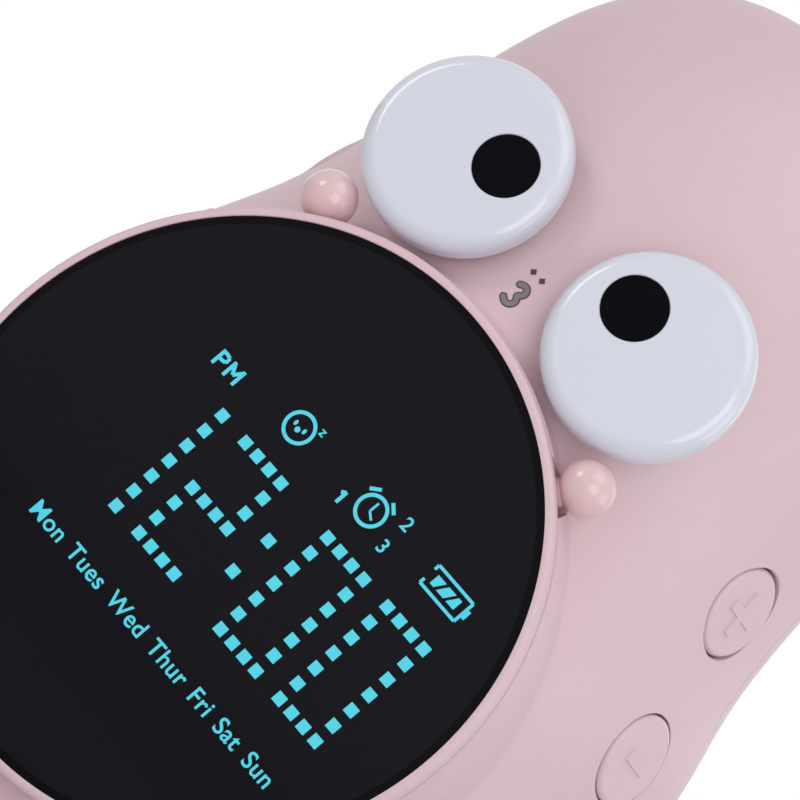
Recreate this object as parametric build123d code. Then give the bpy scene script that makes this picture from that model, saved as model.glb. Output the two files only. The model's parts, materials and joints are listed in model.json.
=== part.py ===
from build123d import *
import math
import os

# A bedside alarm clock for children: a pear-shaped moulded case that stands on a flat base,
# with a round display drum on its belly, two round turning eyes, two ball hands at the rim
# of the drum and two push buttons on each side.
# All sizes are millimetres. X points to the viewer's right, Y away from the viewer, Z up.
# The case is drawn about its own vertical axis, and set over the middle of its footprint last.

# Case outline. Heights are above the table.
foot_stand = 1.2
belly_radius = 55.5
belly_height = 54.0
base_draw_in = 10.5
base_round = 4.0
clock_height = 166.0
# The places that shape the case above its belly, from the flank to the crown: their radii as shares
# of the belly's radius, and their heights as shares of the rise from the belly to the top.
outline_shares = [
    (0.979, 0.205),
    (0.897, 0.327),
    (0.832, 0.488),
    (0.777, 0.674),
    (0.670, 0.840),
    (0.463, 0.946),
    (0.334, 0.974),
]

# Case mouldings.
case_wall = 2.4
parting_y = 3.0
lip_height = 2.0
lip_share = 0.5
lip_gap = 0.1
overrun = 1.0
search_steps = 40

# Display drum, moulded with the front shell. Depths run back from the front of its rim.
display_height = 54.0
display_setback = 1.8
drum_radius = 44.6
drum_wall = 1.8
drum_blend = 3.0
seam_tolerance = 0.02
rim_gap = 0.15
shelf_thickness = 2.0
shelf_inner_radius = 33.0

# Display rim, a separate ring that holds the lens.
rim_radius = 44.4
rim_depth = 2.4
rim_round = 0.9
rim_inner_round = 0.15
sleeve_fit = 0.05
sleeve_wall = 1.8
sleeve_depth = 9.0
rim_boss_radius = 3.2
rim_boss_reach = 38.2
rim_boss_count = 4

# Lens, light block and board.
lens_radius = 43.0
lens_thickness = 1.4
lens_recess = 0.2
lens_fit = 0.05
module_width = 56.0
module_height = 44.0
module_corner = 3.0
module_offset = 6.0
module_gap = 0.1
board_thickness = 1.6
display_board_fit = 0.3

# Ball hands, pegged into the rim's sleeve through notches in the drum.
hand_radius = 3.8
hand_gap = 0.2
hand_angle = 55.1
hand_depth = 4.9
hand_peg_radius = 2.0
hand_peg_fit = 0.05
notch_width = 8.6
notch_end_width = 3.4
notch_depth = 9.9

# Eyes, turned by hand on stems that pass through bosses on the front shell.
eye_radius = 14.6
eye_thickness = 5.0
eye_front_round = 2.3
eye_back_round = 1.3
eye_side = 19.1
eye_rise = 57.2
eye_lift = 0.9
eye_yaw = 2.5
eye_pitch = 5.0
eye_gap = 0.3
eye_boss_radius = 8.0
eye_boss_length = 11.2
eye_stem_radius = 3.0
eye_stem_fit = 0.05
eye_stem_play = 0.1
eye_washer_radius = 5.4
eye_washer_thickness = 0.8
pupil_radius = 4.65
pupil_depth = 0.5
pupil_proud = 0.05
pupil_fit = 0.05
pupil_reach = 6.2
pupil_turn = 23.0

# Side push buttons: angle round the case from the front, and heights.
button_azimuth = 72.3
upper_button_height = 100.3
lower_button_height = 75.9
button_radius = 7.7
button_round = 0.9
button_gap = 0.5
button_depth = 4.2
button_travel = 0.7
button_flange_radius = 9.4
button_flange_thickness = 1.2
button_collar_radius = 10.4
plunger_radius = 1.6
plunger_gap = 0.2
mark_height = 0.25
mark_length = 4.2
mark_stroke = 1.2

# Switch board behind each pair of buttons.
switch_board_depth = 13.0
switch_board_width = 9.0
switch_board_thickness = 1.2
switch_board_end = 3.5
switch_side = 6.0
switch_body_height = 3.5
switch_stem_radius = 1.75
switch_stem_height = 0.8
switch_post_radius = 2.4
switch_post_offset = 26.0

# Screws: shank and head, shared by all the places that use each size.
small_shank_radius = 0.95
small_head_radius = 1.9
small_head_height = 1.3
small_screw_length = 5.5
case_shank_radius = 1.3
case_head_radius = 2.7
case_head_height = 1.9
case_screw_length = 13.0
screw_fit = 0.05

# Case screws join the shells from behind.
case_boss_radius = 4.4
case_well_radius = 3.1
case_screw_seat = 5.0
upper_screw_inset = 16.3
upper_screw_drop = 38.5
lower_screw_inset = 13.8
lower_screw_height = 30.0

# Base cover, feet and the screws that hold the cover.
cover_thickness = 2.4
cover_gap = 0.1
cover_rim_height = 2.0
cover_rim_wall = 1.4
cover_rim_gap = 0.15
cover_screw_sink = 1.2
base_boss_count = 4
base_boss_radius = 3.4
base_boss_inset = 8.0
base_boss_height = 11.0
base_rib_thickness = 1.6
base_rib_lift = 0.4
base_screw_length = 9.0
base_head_height = 0.95
foot_count = 4
foot_radius = 5.0
foot_sink = 0.8
foot_fit = 0.05
foot_inset = 13.0
foot_edge = 0.4

# Battery cell in its cradle.
cell_radius = 9.1
cell_length = 65.0
cell_cap_radius = 3.0
cell_cap_height = 1.0
cell_fit = 0.1
cell_back = -9.0
cradle_wall = 1.4
cradle_floor = 1.5
cradle_rise_share = 0.55
cradle_end_gap = 0.9
contact_thickness = 0.4
contact_width = 8.0
contact_height = 9.0

# Power board with its charging socket at the back.
power_board_width = 30.0
power_board_length = 28.0
power_board_back_gap = 6.6
power_board_lift = 7.0
power_post_radius = 2.6
power_post_inset = 3.2
power_post_rear_inset = 9.6
port_width = 8.94
port_height = 3.16
port_length = 7.9
port_corner = 1.4
port_wall = 0.35
port_setback = 0.7
port_tongue_thickness = 0.7
port_tongue_width = 6.6
port_gap = 0.35

# Speaker behind a pattern of round holes at the back.
speaker_height = 62.0
speaker_radius = 18.0
speaker_flange = 1.5
speaker_basket_radius = 15.6
speaker_magnet_radius = 9.5
speaker_basket_depth = 6.5
speaker_magnet_depth = 5.0
speaker_cone_radius = 14.6
speaker_cone_depth = 4.0
speaker_cone_wall = 0.5
speaker_cap_radius = 4.0
speaker_setback = 6.1
speaker_fit = 0.2
speaker_collar_wall = 1.6
speaker_collar_depth = 5.0
speaker_ledge = 1.8
grille_hole_radius = 1.05
grille_pitch = 3.7
grille_rings = 3
grille_ring_step = 6

# Sizes and places that follow from the ones above.
base_radius = belly_radius - base_draw_in
display_reach = belly_radius - display_setback
hand_reach = drum_radius + hand_gap + hand_radius
eye_height = display_height + eye_rise
base_boss_reach = base_radius - base_boss_inset
foot_reach = base_radius - foot_inset
cover_top = foot_stand + cover_thickness
port_middle = cover_top + power_board_lift + board_thickness + port_height / 2

FROM_FLOOR = (Align.CENTER, Align.CENTER, Align.MIN)
FROM_CEILING = (Align.CENTER, Align.CENTER, Align.MAX)


# Outline of the case

def lower_side(inset):
    """Arc of the case's side from the belly down past the base, drawn in by an inset."""
    drop = belly_height - foot_stand
    arc_radius = (drop ** 2 + base_draw_in ** 2) / (2 * base_draw_in)
    centre = belly_radius - arc_radius
    end_drop = drop if not inset else belly_height
    end = centre + math.sqrt((arc_radius - inset) ** 2 - end_drop ** 2)
    return TangentArc((belly_radius - inset, belly_height), (end, belly_height - end_drop), tangent=(0, -1))


def upper_side(inset):
    """Curve of the case's side from the belly up to the top, drawn in by an inset."""
    rise = clock_height - belly_height
    places = [(belly_radius, belly_height)]
    for radius_share, rise_share in outline_shares:
        places.append((belly_radius * radius_share, belly_height + rise * rise_share))
    places.append((0, clock_height))
    if inset:
        places = [drawn_in(radius, height, inset) for radius, height in places]
    return Spline(places, tangents=[(0, 1), (-1, 0)])


def drawn_in(radius, height, inset):
    """Place inside the skin, square to it, by an inset."""
    pitch = math.radians(skin_place(height)[1])
    return radius - inset * math.cos(pitch), height - inset * math.sin(pitch)


LOWER_SIDE = lower_side(0)
UPPER_SIDE = upper_side(0)


def case_section(inset):
    """Right half of the case's section; one that is drawn in runs open through the base."""
    lower = lower_side(inset)
    upper = upper_side(inset)
    ground = Line(lower @ 1, (0, (lower @ 1).Y))
    axis = Line((0, (lower @ 1).Y), upper @ 1)
    half = make_face([lower, upper, ground, axis])
    if inset:
        return half
    corner = half.vertices().sort_by(Axis.Y).filter_by(lambda v: v.X > base_radius / 2)[0]
    return fillet(corner, base_round)


def case_solid(inset):
    """Solid of revolution of the case, drawn in from the skin by an inset."""
    return revolve(Plane.XZ * case_section(inset), axis=Axis.Z)


def skin_place(height):
    """Radius of the skin at a height, and the angle by which its normal looks up."""
    side = UPPER_SIDE if height > belly_height else LOWER_SIDE
    low = 0.0
    high = 1.0
    rising = (side @ 1).Y > (side @ 0).Y
    for _ in range(search_steps):
        between = (low + high) / 2
        if ((side @ between).Y < height) == rising:
            low = between
        else:
            high = between
    point = side @ low
    slope = side % low
    if slope.Y < 0:
        slope = -slope
    return point.X, math.degrees(math.atan2(-slope.X, slope.Y))


def plane_facing(origin, azimuth, pitch):
    """Plane at a place, whose normal looks out at an angle from the front and up by a pitch."""
    turn = math.radians(azimuth)
    lift = math.radians(pitch)
    outward = (math.sin(turn) * math.cos(lift), -math.cos(turn) * math.cos(lift), math.sin(lift))
    sideways = (math.cos(turn), math.sin(turn), 0)
    return Plane(origin=origin, x_dir=sideways, z_dir=outward)


def skin_plane(azimuth, height):
    """Plane that touches the skin at an angle from the front and a height."""
    radius, pitch = skin_place(height)
    turn = math.radians(azimuth)
    origin = (radius * math.sin(turn), -radius * math.cos(turn), height)
    return plane_facing(origin, azimuth, pitch)


# Bars, tubes and screws on an axis; depths run back from a plane

def bar(plane, radius, near, far):
    """Round bar on the axis of a plane, between two depths."""
    return plane.offset(-far) * Cylinder(radius, far - near, align=FROM_FLOOR)


def tube(plane, outer_radius, inner_radius, near, far):
    """Round tube on the axis of a plane, between two depths."""
    return bar(plane, outer_radius, near, far) - bar(plane, inner_radius, near, far)


def shifted(plane, across, along):
    """The same plane, moved in its own two directions."""
    return plane * Pos(across, along, 0) * Plane.XY


def ring_places(count, reach, first_turn):
    """Places spaced evenly round a circle, as pairs of distances."""
    turns = [math.radians(first_turn + 360 * step / count) for step in range(count)]
    return [(reach * math.cos(turn), reach * math.sin(turn)) for turn in turns]


def screw(plane, head_radius, head_height, shank_radius, length):
    """Screw whose chamfered head seats on the plane and whose shank runs behind it."""
    head = plane * Cylinder(head_radius, head_height, align=FROM_FLOOR)
    crown = head.edges().filter_by(GeomType.CIRCLE).sort_by(plane_axis(plane))[-1]
    return chamfer(crown, head_height / 3) + bar(plane, shank_radius, 0, length)


def small_screw(plane, length):
    """Screw of the size that holds the circuit boards."""
    return screw(plane, small_head_radius, small_head_height, small_shank_radius, length)


def case_screw(plane, head_height, length):
    """Screw of the size that holds the case and the eyes."""
    return screw(plane, case_head_radius, head_height, case_shank_radius, length)


def plane_axis(plane):
    """Axis along a plane's normal."""
    return Axis(plane.origin, plane.z_dir)


DISPLAY = Plane(origin=(0, -display_reach, display_height), x_dir=(1, 0, 0), z_dir=(0, -1, 0))
DRUM_BORE = drum_radius - drum_wall
SLEEVE_RADIUS = DRUM_BORE - sleeve_fit
SLEEVE_BORE = SLEEVE_RADIUS - sleeve_wall
LENS_BACK = lens_recess + lens_thickness
BOARD_BACK = sleeve_depth + board_thickness
SHELF_BACK = BOARD_BACK + shelf_thickness
BORE_DEPTH = display_reach


# Display

def rim_boss_planes():
    """Planes of the rim's screw bosses."""
    places = ring_places(rim_boss_count, rim_boss_reach, 180 / rim_boss_count)
    return [shifted(DISPLAY, across, along) for across, along in places]


def hand_planes():
    """Planes at the centres of the two hands, looking out along the drum's radius."""
    planes = []
    for turn in (180 - hand_angle, hand_angle):
        across = math.cos(math.radians(turn))
        along = math.sin(math.radians(turn))
        centre = (hand_reach * across, hand_depth - display_reach, display_height + hand_reach * along)
        planes.append(Plane(origin=centre, x_dir=(0, -1, 0), z_dir=(across, 0, along)))
    return planes


def make_rim():
    """Ring with a rounded lip, a seat for the lens and a sleeve that enters the drum."""
    lip = tube(Plane.XY, rim_radius, lens_radius + lens_fit, 0, rim_depth)
    outer_edge = lip.edges().filter_by(GeomType.CIRCLE).group_by(Axis.Z)[-1].sort_by(SortBy.RADIUS)
    lip = fillet(outer_edge[-1], rim_round)
    inner_edge = lip.edges().filter_by(GeomType.CIRCLE).group_by(Axis.Z)[-1].sort_by(SortBy.RADIUS)
    lip = fillet(inner_edge[0], rim_inner_round)
    ring = DISPLAY * (lip + tube(Plane.XY, lens_radius + lens_fit, SLEEVE_BORE, LENS_BACK, rim_depth))
    ring += tube(DISPLAY, SLEEVE_RADIUS, SLEEVE_BORE, rim_depth, sleeve_depth)
    for plane in rim_boss_planes():
        ring += bar(plane, rim_boss_radius, LENS_BACK, sleeve_depth)
        ring -= bar(plane, small_shank_radius + screw_fit, LENS_BACK + overrun, sleeve_depth)
    for plane in hand_planes():
        ring -= bar(plane, hand_peg_radius + hand_peg_fit, 0, hand_reach - SLEEVE_BORE + overrun)
    return ring


def make_lens():
    """Flat smoked lens of the display."""
    lens = bar(DISPLAY, lens_radius, lens_recess, LENS_BACK)
    edge = lens.edges().filter_by(GeomType.CIRCLE).sort_by(Axis.Y)[0]
    return chamfer(edge, lens_recess / 2)


def make_light_block():
    """Block of light wells behind the lens."""
    outline = RectangleRounded(module_width, module_height, module_corner)
    plane = shifted(DISPLAY.offset(-sleeve_depth), module_offset, 0)
    return extrude(plane * outline, sleeve_depth - LENS_BACK - module_gap)


def make_display_board():
    """Round circuit board behind the rim."""
    board = bar(DISPLAY, DRUM_BORE - display_board_fit, sleeve_depth, BOARD_BACK)
    for plane in rim_boss_planes():
        board -= bar(plane, small_shank_radius + screw_fit, 0, BOARD_BACK)
    return board


def make_display_screws():
    """Screws that draw the board and the rim onto the drum's shelf."""
    screws = []
    for plane in rim_boss_planes():
        back = Plane(origin=plane.offset(-SHELF_BACK).origin, z_dir=-plane.z_dir)
        screws.append(small_screw(back, small_screw_length + shelf_thickness))
    return screws


def make_hand(plane):
    """Ball on a peg."""
    peg = bar(plane, hand_peg_radius, 0, hand_reach - SLEEVE_BORE)
    return plane * Sphere(hand_radius) + peg


# Eyes

def eye_plane(side):
    """Plane of the back of one eye; side is -1 for the left and 1 for the right."""
    back_reach = skin_place(eye_height)[0] + eye_lift
    origin = (side * eye_side, -back_reach, eye_height)
    return plane_facing(origin, side * eye_yaw, eye_pitch)


def pupil_plane(side):
    """Plane of the front of one eye, at its pupil."""
    turn = math.radians(pupil_turn)
    front = eye_plane(side).offset(eye_thickness)
    return shifted(front, -side * pupil_reach * math.cos(turn), pupil_reach * math.sin(turn))


def make_eye(side):
    """Round eye with a soft edge, a recess for its pupil and a stem."""
    disc = Cylinder(eye_radius, eye_thickness, align=FROM_FLOOR)
    disc = fillet(disc.edges().filter_by(GeomType.CIRCLE).sort_by(Axis.Z)[-1], eye_front_round)
    disc = fillet(disc.edges().filter_by(GeomType.CIRCLE).sort_by(Axis.Z)[0], eye_back_round)
    plane = eye_plane(side)
    stem_length = eye_gap + eye_boss_length + eye_stem_play
    eye = plane * disc + bar(plane, eye_stem_radius, 0, stem_length)
    eye -= bar(pupil_plane(side), pupil_radius + pupil_fit, 0, pupil_depth)
    pilot_end = stem_length - small_screw_length - overrun
    return eye - bar(plane, case_shank_radius + screw_fit, pilot_end, stem_length)


def make_pupil(side):
    """Thin disc let into the front of an eye."""
    return bar(pupil_plane(side), pupil_radius, -pupil_proud, pupil_depth)


def eye_washer_plane(side):
    """Plane of the end of an eye's stem, looking into the case."""
    plane = eye_plane(side).offset(-(eye_gap + eye_boss_length + eye_stem_play))
    return Plane(origin=plane.origin, x_dir=plane.x_dir, z_dir=-plane.z_dir)


def make_eye_washer(side):
    """Washer that holds an eye's stem in its boss."""
    plane = eye_washer_plane(side)
    hole = case_shank_radius + screw_fit
    return tube(plane, eye_washer_radius, hole, -eye_washer_thickness, 0)


def make_eye_screw(side):
    """Screw in the end of an eye's stem."""
    plane = eye_washer_plane(side).offset(eye_washer_thickness)
    return case_screw(plane, case_head_height, small_screw_length)


# Side buttons and their switches; the right side is drawn and the left side mirrors it

def button_plane(height):
    """Plane that touches the skin at a button on the right side."""
    return skin_plane(button_azimuth, height)


def switch_board_plane():
    """Plane of the outer face of the right switch board, behind the line between the buttons."""
    upper = button_plane(upper_button_height).origin
    lower = button_plane(lower_button_height).origin
    drop = math.hypot(upper.X - lower.X, upper.Y - lower.Y)
    pitch = math.degrees(math.atan2(drop, upper.Z - lower.Z))
    return plane_facing((upper + lower) / 2, button_azimuth, pitch).offset(-switch_board_depth)


def switch_places():
    """Places along the switch board behind the two buttons, the lower one first."""
    upper = button_plane(upper_button_height).origin
    lower = button_plane(lower_button_height).origin
    half = (upper - lower).length / 2
    return [-half, half]


def plunger_end(height):
    """Depth below a button's face at which its plunger ends, clear of the switch by its travel."""
    plane = button_plane(height)
    board = switch_board_plane()
    place = switch_places()[0] if height == lower_button_height else switch_places()[1]
    tip = shifted(board, 0, place).offset(switch_body_height + switch_stem_height).origin
    return (plane.origin - tip).dot(plane.z_dir) - button_travel - plunger_gap


def make_button(height, mark):
    """Button cap with a rounded rim, a flange that stops on its collar, a plunger and a raised mark."""
    cap = Cylinder(button_radius, button_depth, align=FROM_CEILING)
    cap = fillet(cap.edges().filter_by(GeomType.CIRCLE).sort_by(Axis.Z)[-1], button_round)
    flange_back = button_depth + button_flange_thickness
    cap += bar(Plane.XY, button_flange_radius, button_depth, flange_back)
    cap += bar(Plane.XY, plunger_radius, flange_back, plunger_end(height))
    cap += extrude(mark, mark_height)
    return button_plane(height) * cap


def stroke(turn):
    """Straight stroke of a mark, turned on the button's face."""
    return Rot(0, 0, turn) * Rectangle(mark_length, mark_stroke)


def bell_mark():
    """Plain bell."""
    half = mark_length / 2
    body = Circle(half - mark_stroke / 2) & Pos(0, half) * Rectangle(mark_length, mark_length)
    body += Pos(0, -mark_stroke / 2) * Rectangle(mark_length - mark_stroke, mark_stroke)
    brim = Pos(0, -mark_stroke) * Rectangle(mark_length, mark_stroke / 2)
    return body + brim + Pos(0, -mark_stroke - mark_stroke / 2) * Circle(mark_stroke / 2)


def ring_mark():
    """Plain ring."""
    return Circle(mark_length / 2) - Circle(mark_length / 2 - mark_stroke)


def make_switch_board():
    """Narrow circuit board behind the two buttons of the right side."""
    plane = switch_board_plane()
    length = 2 * (switch_post_offset + switch_board_end)
    board = plane * Box(switch_board_width, length, switch_board_thickness, align=FROM_CEILING)
    for place in (-switch_post_offset, switch_post_offset):
        post = shifted(plane, 0, place)
        board -= bar(post, small_shank_radius + screw_fit, 0, switch_board_thickness)
    return board


def make_switches():
    """Two tact switches on the right switch board."""
    switches = []
    for place in switch_places():
        plane = shifted(switch_board_plane(), 0, place)
        body = plane * Box(switch_side, switch_side, switch_body_height, align=FROM_FLOOR)
        top = switch_body_height + switch_stem_height
        switches.append(body + bar(plane, switch_stem_radius, -top, -switch_body_height))
    return switches


def make_switch_board_screws():
    """Screws that hold the right switch board to its posts."""
    screws = []
    for place in (-switch_post_offset, switch_post_offset):
        plane = shifted(switch_board_plane(), 0, place).offset(-switch_board_thickness)
        back = Plane(origin=plane.origin, z_dir=-plane.z_dir)
        screws.append(small_screw(back, small_screw_length))
    return screws


def button_collars(case):
    """Collars inside the shell that guide the right buttons, and the holes through them."""
    collars = []
    holes = []
    for height in (upper_button_height, lower_button_height):
        plane = button_plane(height)
        collars.append(bar(plane, button_collar_radius, -overrun, button_depth) & case)
        holes.append(bar(plane, button_radius + button_gap, -case_wall, button_depth + overrun))
        flange_room = button_flange_radius + button_gap
        holes.append(bar(plane, flange_room, button_depth, switch_board_depth))
    return collars, holes


def switch_posts(case):
    """Posts inside the shell that carry the right switch board, and their pilot holes."""
    posts = []
    holes = []
    for place in (-switch_post_offset, switch_post_offset):
        plane = shifted(switch_board_plane(), 0, place)
        posts.append(bar(plane, switch_post_radius, -2 * switch_board_depth, 0) & case)
        depth = small_screw_length - switch_board_thickness + overrun
        holes.append(bar(plane, small_shank_radius + screw_fit, -depth, 0))
    return posts, holes


# Case screws

def case_screw_planes():
    """Planes of the case screws on the parting face, looking back."""
    upper_screw_height = clock_height - upper_screw_drop
    planes = []
    for height, inset in ((upper_screw_height, upper_screw_inset), (lower_screw_height, lower_screw_inset)):
        across = skin_place(height)[0] - inset
        for side in (-1, 1):
            place = (side * across, parting_y, height)
            planes.append(Plane(origin=place, x_dir=(-1, 0, 0), z_dir=(0, 1, 0)))
    return planes


def base_boss_planes():
    """Planes of the base screws on the upper face of the base cover, looking down."""
    places = ring_places(base_boss_count, base_boss_reach, 180 / base_boss_count)
    return [Plane(origin=(across, along, cover_top), z_dir=(0, 0, -1)) for across, along in places]


def base_boss(plane, case):
    """Boss for a base screw, tied to the wall by a rib."""
    boss = bar(plane, base_boss_radius, cover_gap, base_boss_height)
    turn = math.degrees(math.atan2(plane.origin.Y, plane.origin.X))
    lift = cover_rim_height + base_rib_lift
    rib_height = base_boss_height - lift
    rib = Box(belly_radius - base_boss_reach, base_rib_thickness, rib_height,
              align=(Align.MIN, Align.CENTER, Align.MIN))
    rib = Rot(0, 0, turn) * Pos(base_boss_reach, 0, cover_top + lift) * rib
    return (boss + rib) & case


# Shells

def make_shells():
    """Front and rear shells, with everything that is moulded with them."""
    skin = case_solid(0)
    hollow = case_solid(case_wall)
    rebate = case_solid(case_wall * lip_share)

    drum = bar(DISPLAY, drum_radius, rim_depth + rim_gap, BORE_DEPTH)
    body = skin + drum
    body = fillet(drum_seam(body), drum_blend)
    body -= hollow + bar(DISPLAY, DRUM_BORE, -belly_radius, BORE_DEPTH)
    body += tube(DISPLAY, drum_radius, DRUM_BORE, sleeve_depth, SHELF_BACK)
    body += tube(DISPLAY, drum_radius, shelf_inner_radius, BOARD_BACK, SHELF_BACK)
    for plane in rim_boss_planes():
        body -= bar(plane, small_shank_radius + screw_fit, BOARD_BACK - overrun, SHELF_BACK + overrun)

    span = 2 * clock_height
    floor_slab = Pos(0, 0, cover_top + cover_gap) * Box(span, span, span, align=FROM_CEILING)
    before = (Align.CENTER, Align.MAX, Align.CENTER)
    parting = Pos(0, parting_y, 0)
    front_room = parting * Box(span, span, span, align=before)
    lip_room = parting * Box(span, lip_height, span, align=before)
    groove = parting * Box(span, lip_height + lip_gap, span, align=before)

    front = body & front_room
    rear = body - front_room
    front -= rebate & groove
    rebate_gap = case_solid(case_wall * lip_share + lip_gap)
    rear += (rebate_gap - hollow) & lip_room

    for plane in case_screw_planes():
        pillar = bar(plane, case_boss_radius, -span, span) & skin
        hole = case_shank_radius + screw_fit
        front += pillar & (front_room - groove)
        front -= bar(plane, hole, 0, case_screw_length)
        rear += pillar - front_room
        rear += pillar & lip_room
        rear -= bar(plane, case_well_radius, -span, -case_screw_seat)
        rear -= bar(plane, hole, -case_screw_seat, lip_height + overrun)

    for plane in base_boss_planes():
        boss = base_boss(plane, skin)
        hole = bar(plane, case_shank_radius + screw_fit, 0, base_screw_length)
        if plane.origin.Y < 0:
            front = front + boss - hole
        else:
            rear = rear + boss - hole

    front = add_eye_bosses(front)
    front = add_button_places(front, skin)
    front = add_hand_notches(front)
    rear = add_speaker_place(rear, skin)
    rear -= port_slot()
    return front - floor_slab, rear - floor_slab


def drum_seam(body):
    """Edges where the drum rises out of the case."""
    seam = []
    for edge in body.edges():
        place = edge @ 0.5
        reach = math.hypot(place.X, place.Z - display_height)
        behind = place.Y > rim_depth + rim_gap + overrun - display_reach
        if behind and abs(reach - drum_radius) < seam_tolerance:
            seam.append(edge)
    return seam


def add_eye_bosses(front):
    """Bosses that carry the eyes, with the bores for their stems."""
    for side in (-1, 1):
        plane = eye_plane(side)
        front += bar(plane, eye_boss_radius, eye_gap, eye_gap + eye_boss_length)
        front -= bar(plane, eye_stem_radius + eye_stem_fit, 0, eye_gap + eye_boss_length + overrun)
    return front


def add_button_places(front, skin):
    """Collars, holes and switch posts of both sides."""
    collars, collar_holes = button_collars(skin)
    posts, post_holes = switch_posts(skin)
    for piece in collars + posts:
        front += piece
        front += mirror(piece, about=Plane.YZ)
    for hole in collar_holes + post_holes:
        front -= hole
        front -= mirror(hole, about=Plane.YZ)
    return front


def add_hand_notches(front):
    """Notches in the drum's wall for the hands, wide at the rim and narrower behind."""
    mouth = hand_depth - rim_depth
    end = hand_depth - notch_depth
    outline = Polygon(
        (mouth, -notch_width / 2),
        (mouth, notch_width / 2),
        (end, notch_end_width / 2),
        (end, -notch_end_width / 2),
        align=None,
    )
    reach = hand_reach - DRUM_BORE + overrun
    for plane in hand_planes():
        front -= extrude(plane * outline, reach, both=True)
    return front


def add_speaker_place(rear, skin):
    """Collar, ledge and sound holes for the speaker."""
    plane = Plane(origin=(0, belly_radius, speaker_height), x_dir=(-1, 0, 0), z_dir=(0, 1, 0))
    seat = belly_radius - speaker_seat_reach()
    bore = speaker_radius + speaker_fit
    collar = tube(plane, bore + speaker_collar_wall, bore, 0, seat + speaker_collar_depth)
    ledge = tube(plane, bore, speaker_radius - speaker_ledge, 0, seat)
    rear += (collar + ledge) & skin
    rear -= bar(plane, grille_hole_radius, 0, seat)
    for ring in range(1, grille_rings + 1):
        for across, along in ring_places(grille_ring_step * ring, ring * grille_pitch, 0):
            rear -= bar(shifted(plane, across, along), grille_hole_radius, 0, seat)
    return rear


# Base

def make_base_cover():
    """Bottom cover with a locating rim, foot recesses, screw holes and posts."""
    skin = case_solid(0)
    span = 2 * clock_height
    slab = Pos(0, 0, cover_top) * Box(span, span, span, align=FROM_CEILING)
    cover = skin & slab
    skin_radius, pitch = skin_place(cover_top)
    rim_outer = skin_radius - case_wall / math.cos(math.radians(pitch)) - cover_rim_gap
    rim = Pos(0, 0, cover_top) * Cylinder(rim_outer, cover_rim_height, align=FROM_FLOOR)
    rim -= Pos(0, 0, cover_top) * Cylinder(rim_outer - cover_rim_wall, cover_rim_height, align=FROM_FLOOR)
    cover += rim
    for plane in base_boss_planes():
        cover -= bar(plane, case_shank_radius + screw_fit, -span, overrun)
        cover -= bar(plane, case_head_radius + foot_fit, -span, cover_screw_sink - cover_thickness)
    for plane in foot_planes():
        cover -= bar(plane, foot_radius + foot_fit, -overrun, foot_sink)
    for plane in power_post_planes():
        cover += bar(plane, power_post_radius, 0, power_board_lift)
        cover -= bar(plane, small_shank_radius + screw_fit, 0, small_screw_length)
    return cover


def make_base_screws():
    """Screws through the base cover into the shells' bosses."""
    screws = []
    for plane in base_boss_planes():
        seat = plane.offset(cover_thickness - cover_screw_sink)
        screws.append(case_screw(seat, base_head_height, base_screw_length))
    return screws


def foot_planes():
    """Planes of the foot recesses on the bottom of the cover, looking down."""
    places = ring_places(foot_count, foot_reach, 0)
    return [Plane(origin=(across, along, foot_stand), z_dir=(0, 0, -1)) for across, along in places]


def make_feet():
    """Round rubber feet."""
    feet = []
    for plane in foot_planes():
        foot = bar(plane, foot_radius, -foot_stand, foot_sink)
        feet.append(chamfer(foot.edges().filter_by(GeomType.CIRCLE).sort_by(Axis.Z)[0], foot_edge))
    return feet


def make_case_screws():
    """Screws that draw the shells together, at the bottom of their wells."""
    screws = []
    for plane in case_screw_planes():
        seat = plane.offset(case_screw_seat)
        screws.append(case_screw(seat, case_head_height, case_screw_length))
    return screws


# Battery

def cell_centre_height():
    """Height of the battery's axis."""
    return cover_top + cradle_floor + cell_fit + cell_radius


def make_cell():
    """Round rechargeable cell lying across the base."""
    plane = Plane(origin=(cell_length / 2, cell_back, cell_centre_height()), z_dir=(1, 0, 0))
    cell = bar(plane, cell_radius, cell_cap_height, cell_length)
    ends = cell.edges().filter_by(GeomType.CIRCLE)
    cell = fillet(ends, cell_cap_height / 2)
    return cell + bar(plane, cell_cap_radius, 0, cell_cap_height)


def make_cradle():
    """Open cradle that holds the cell."""
    inner_length = cell_length + 2 * (cradle_end_gap + contact_thickness)
    inner_width = 2 * (cell_radius + cell_fit)
    rise = cradle_floor + 2 * cell_radius * cradle_rise_share
    outer = Box(inner_length + 2 * cradle_wall, inner_width + 2 * cradle_wall, rise, align=FROM_FLOOR)
    room = Pos(0, 0, cradle_floor) * Box(inner_length, inner_width, rise, align=FROM_FLOOR)
    scoop = Pos(0, 0, rise) * Rot(90, 0, 0) * Cylinder(cell_radius / 2, 2 * inner_width)
    return Pos(0, cell_back, cover_top) * (outer - room - scoop)


def make_contacts():
    """Sprung contact plates at the two ends of the cradle."""
    plates = []
    reach = cell_length / 2 + cradle_end_gap
    for side in (-1, 1):
        plate = Box(contact_thickness, contact_width, contact_height,
                    align=(Align.MIN, Align.CENTER, Align.CENTER))
        dimple = Pos(contact_thickness, 0, 0) * Rot(0, -90, 0) * Cylinder(
            contact_width / 4, contact_thickness + cradle_end_gap, align=FROM_FLOOR)
        place = Pos(reach, cell_back, cover_top + cradle_floor + contact_height / 2)
        contact = place * plate + Pos(reach, cell_back, cell_centre_height()) * dimple
        plates.append(contact if side > 0 else mirror(contact, about=Plane.YZ))
    return plates


# Power board

def port_back():
    """Distance from the case's axis back to the mouth of the charging socket."""
    return skin_place(port_middle)[0] - port_setback


def power_board_back():
    """Distance from the case's axis back to the rear edge of the power board."""
    return port_back() - power_board_back_gap


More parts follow.
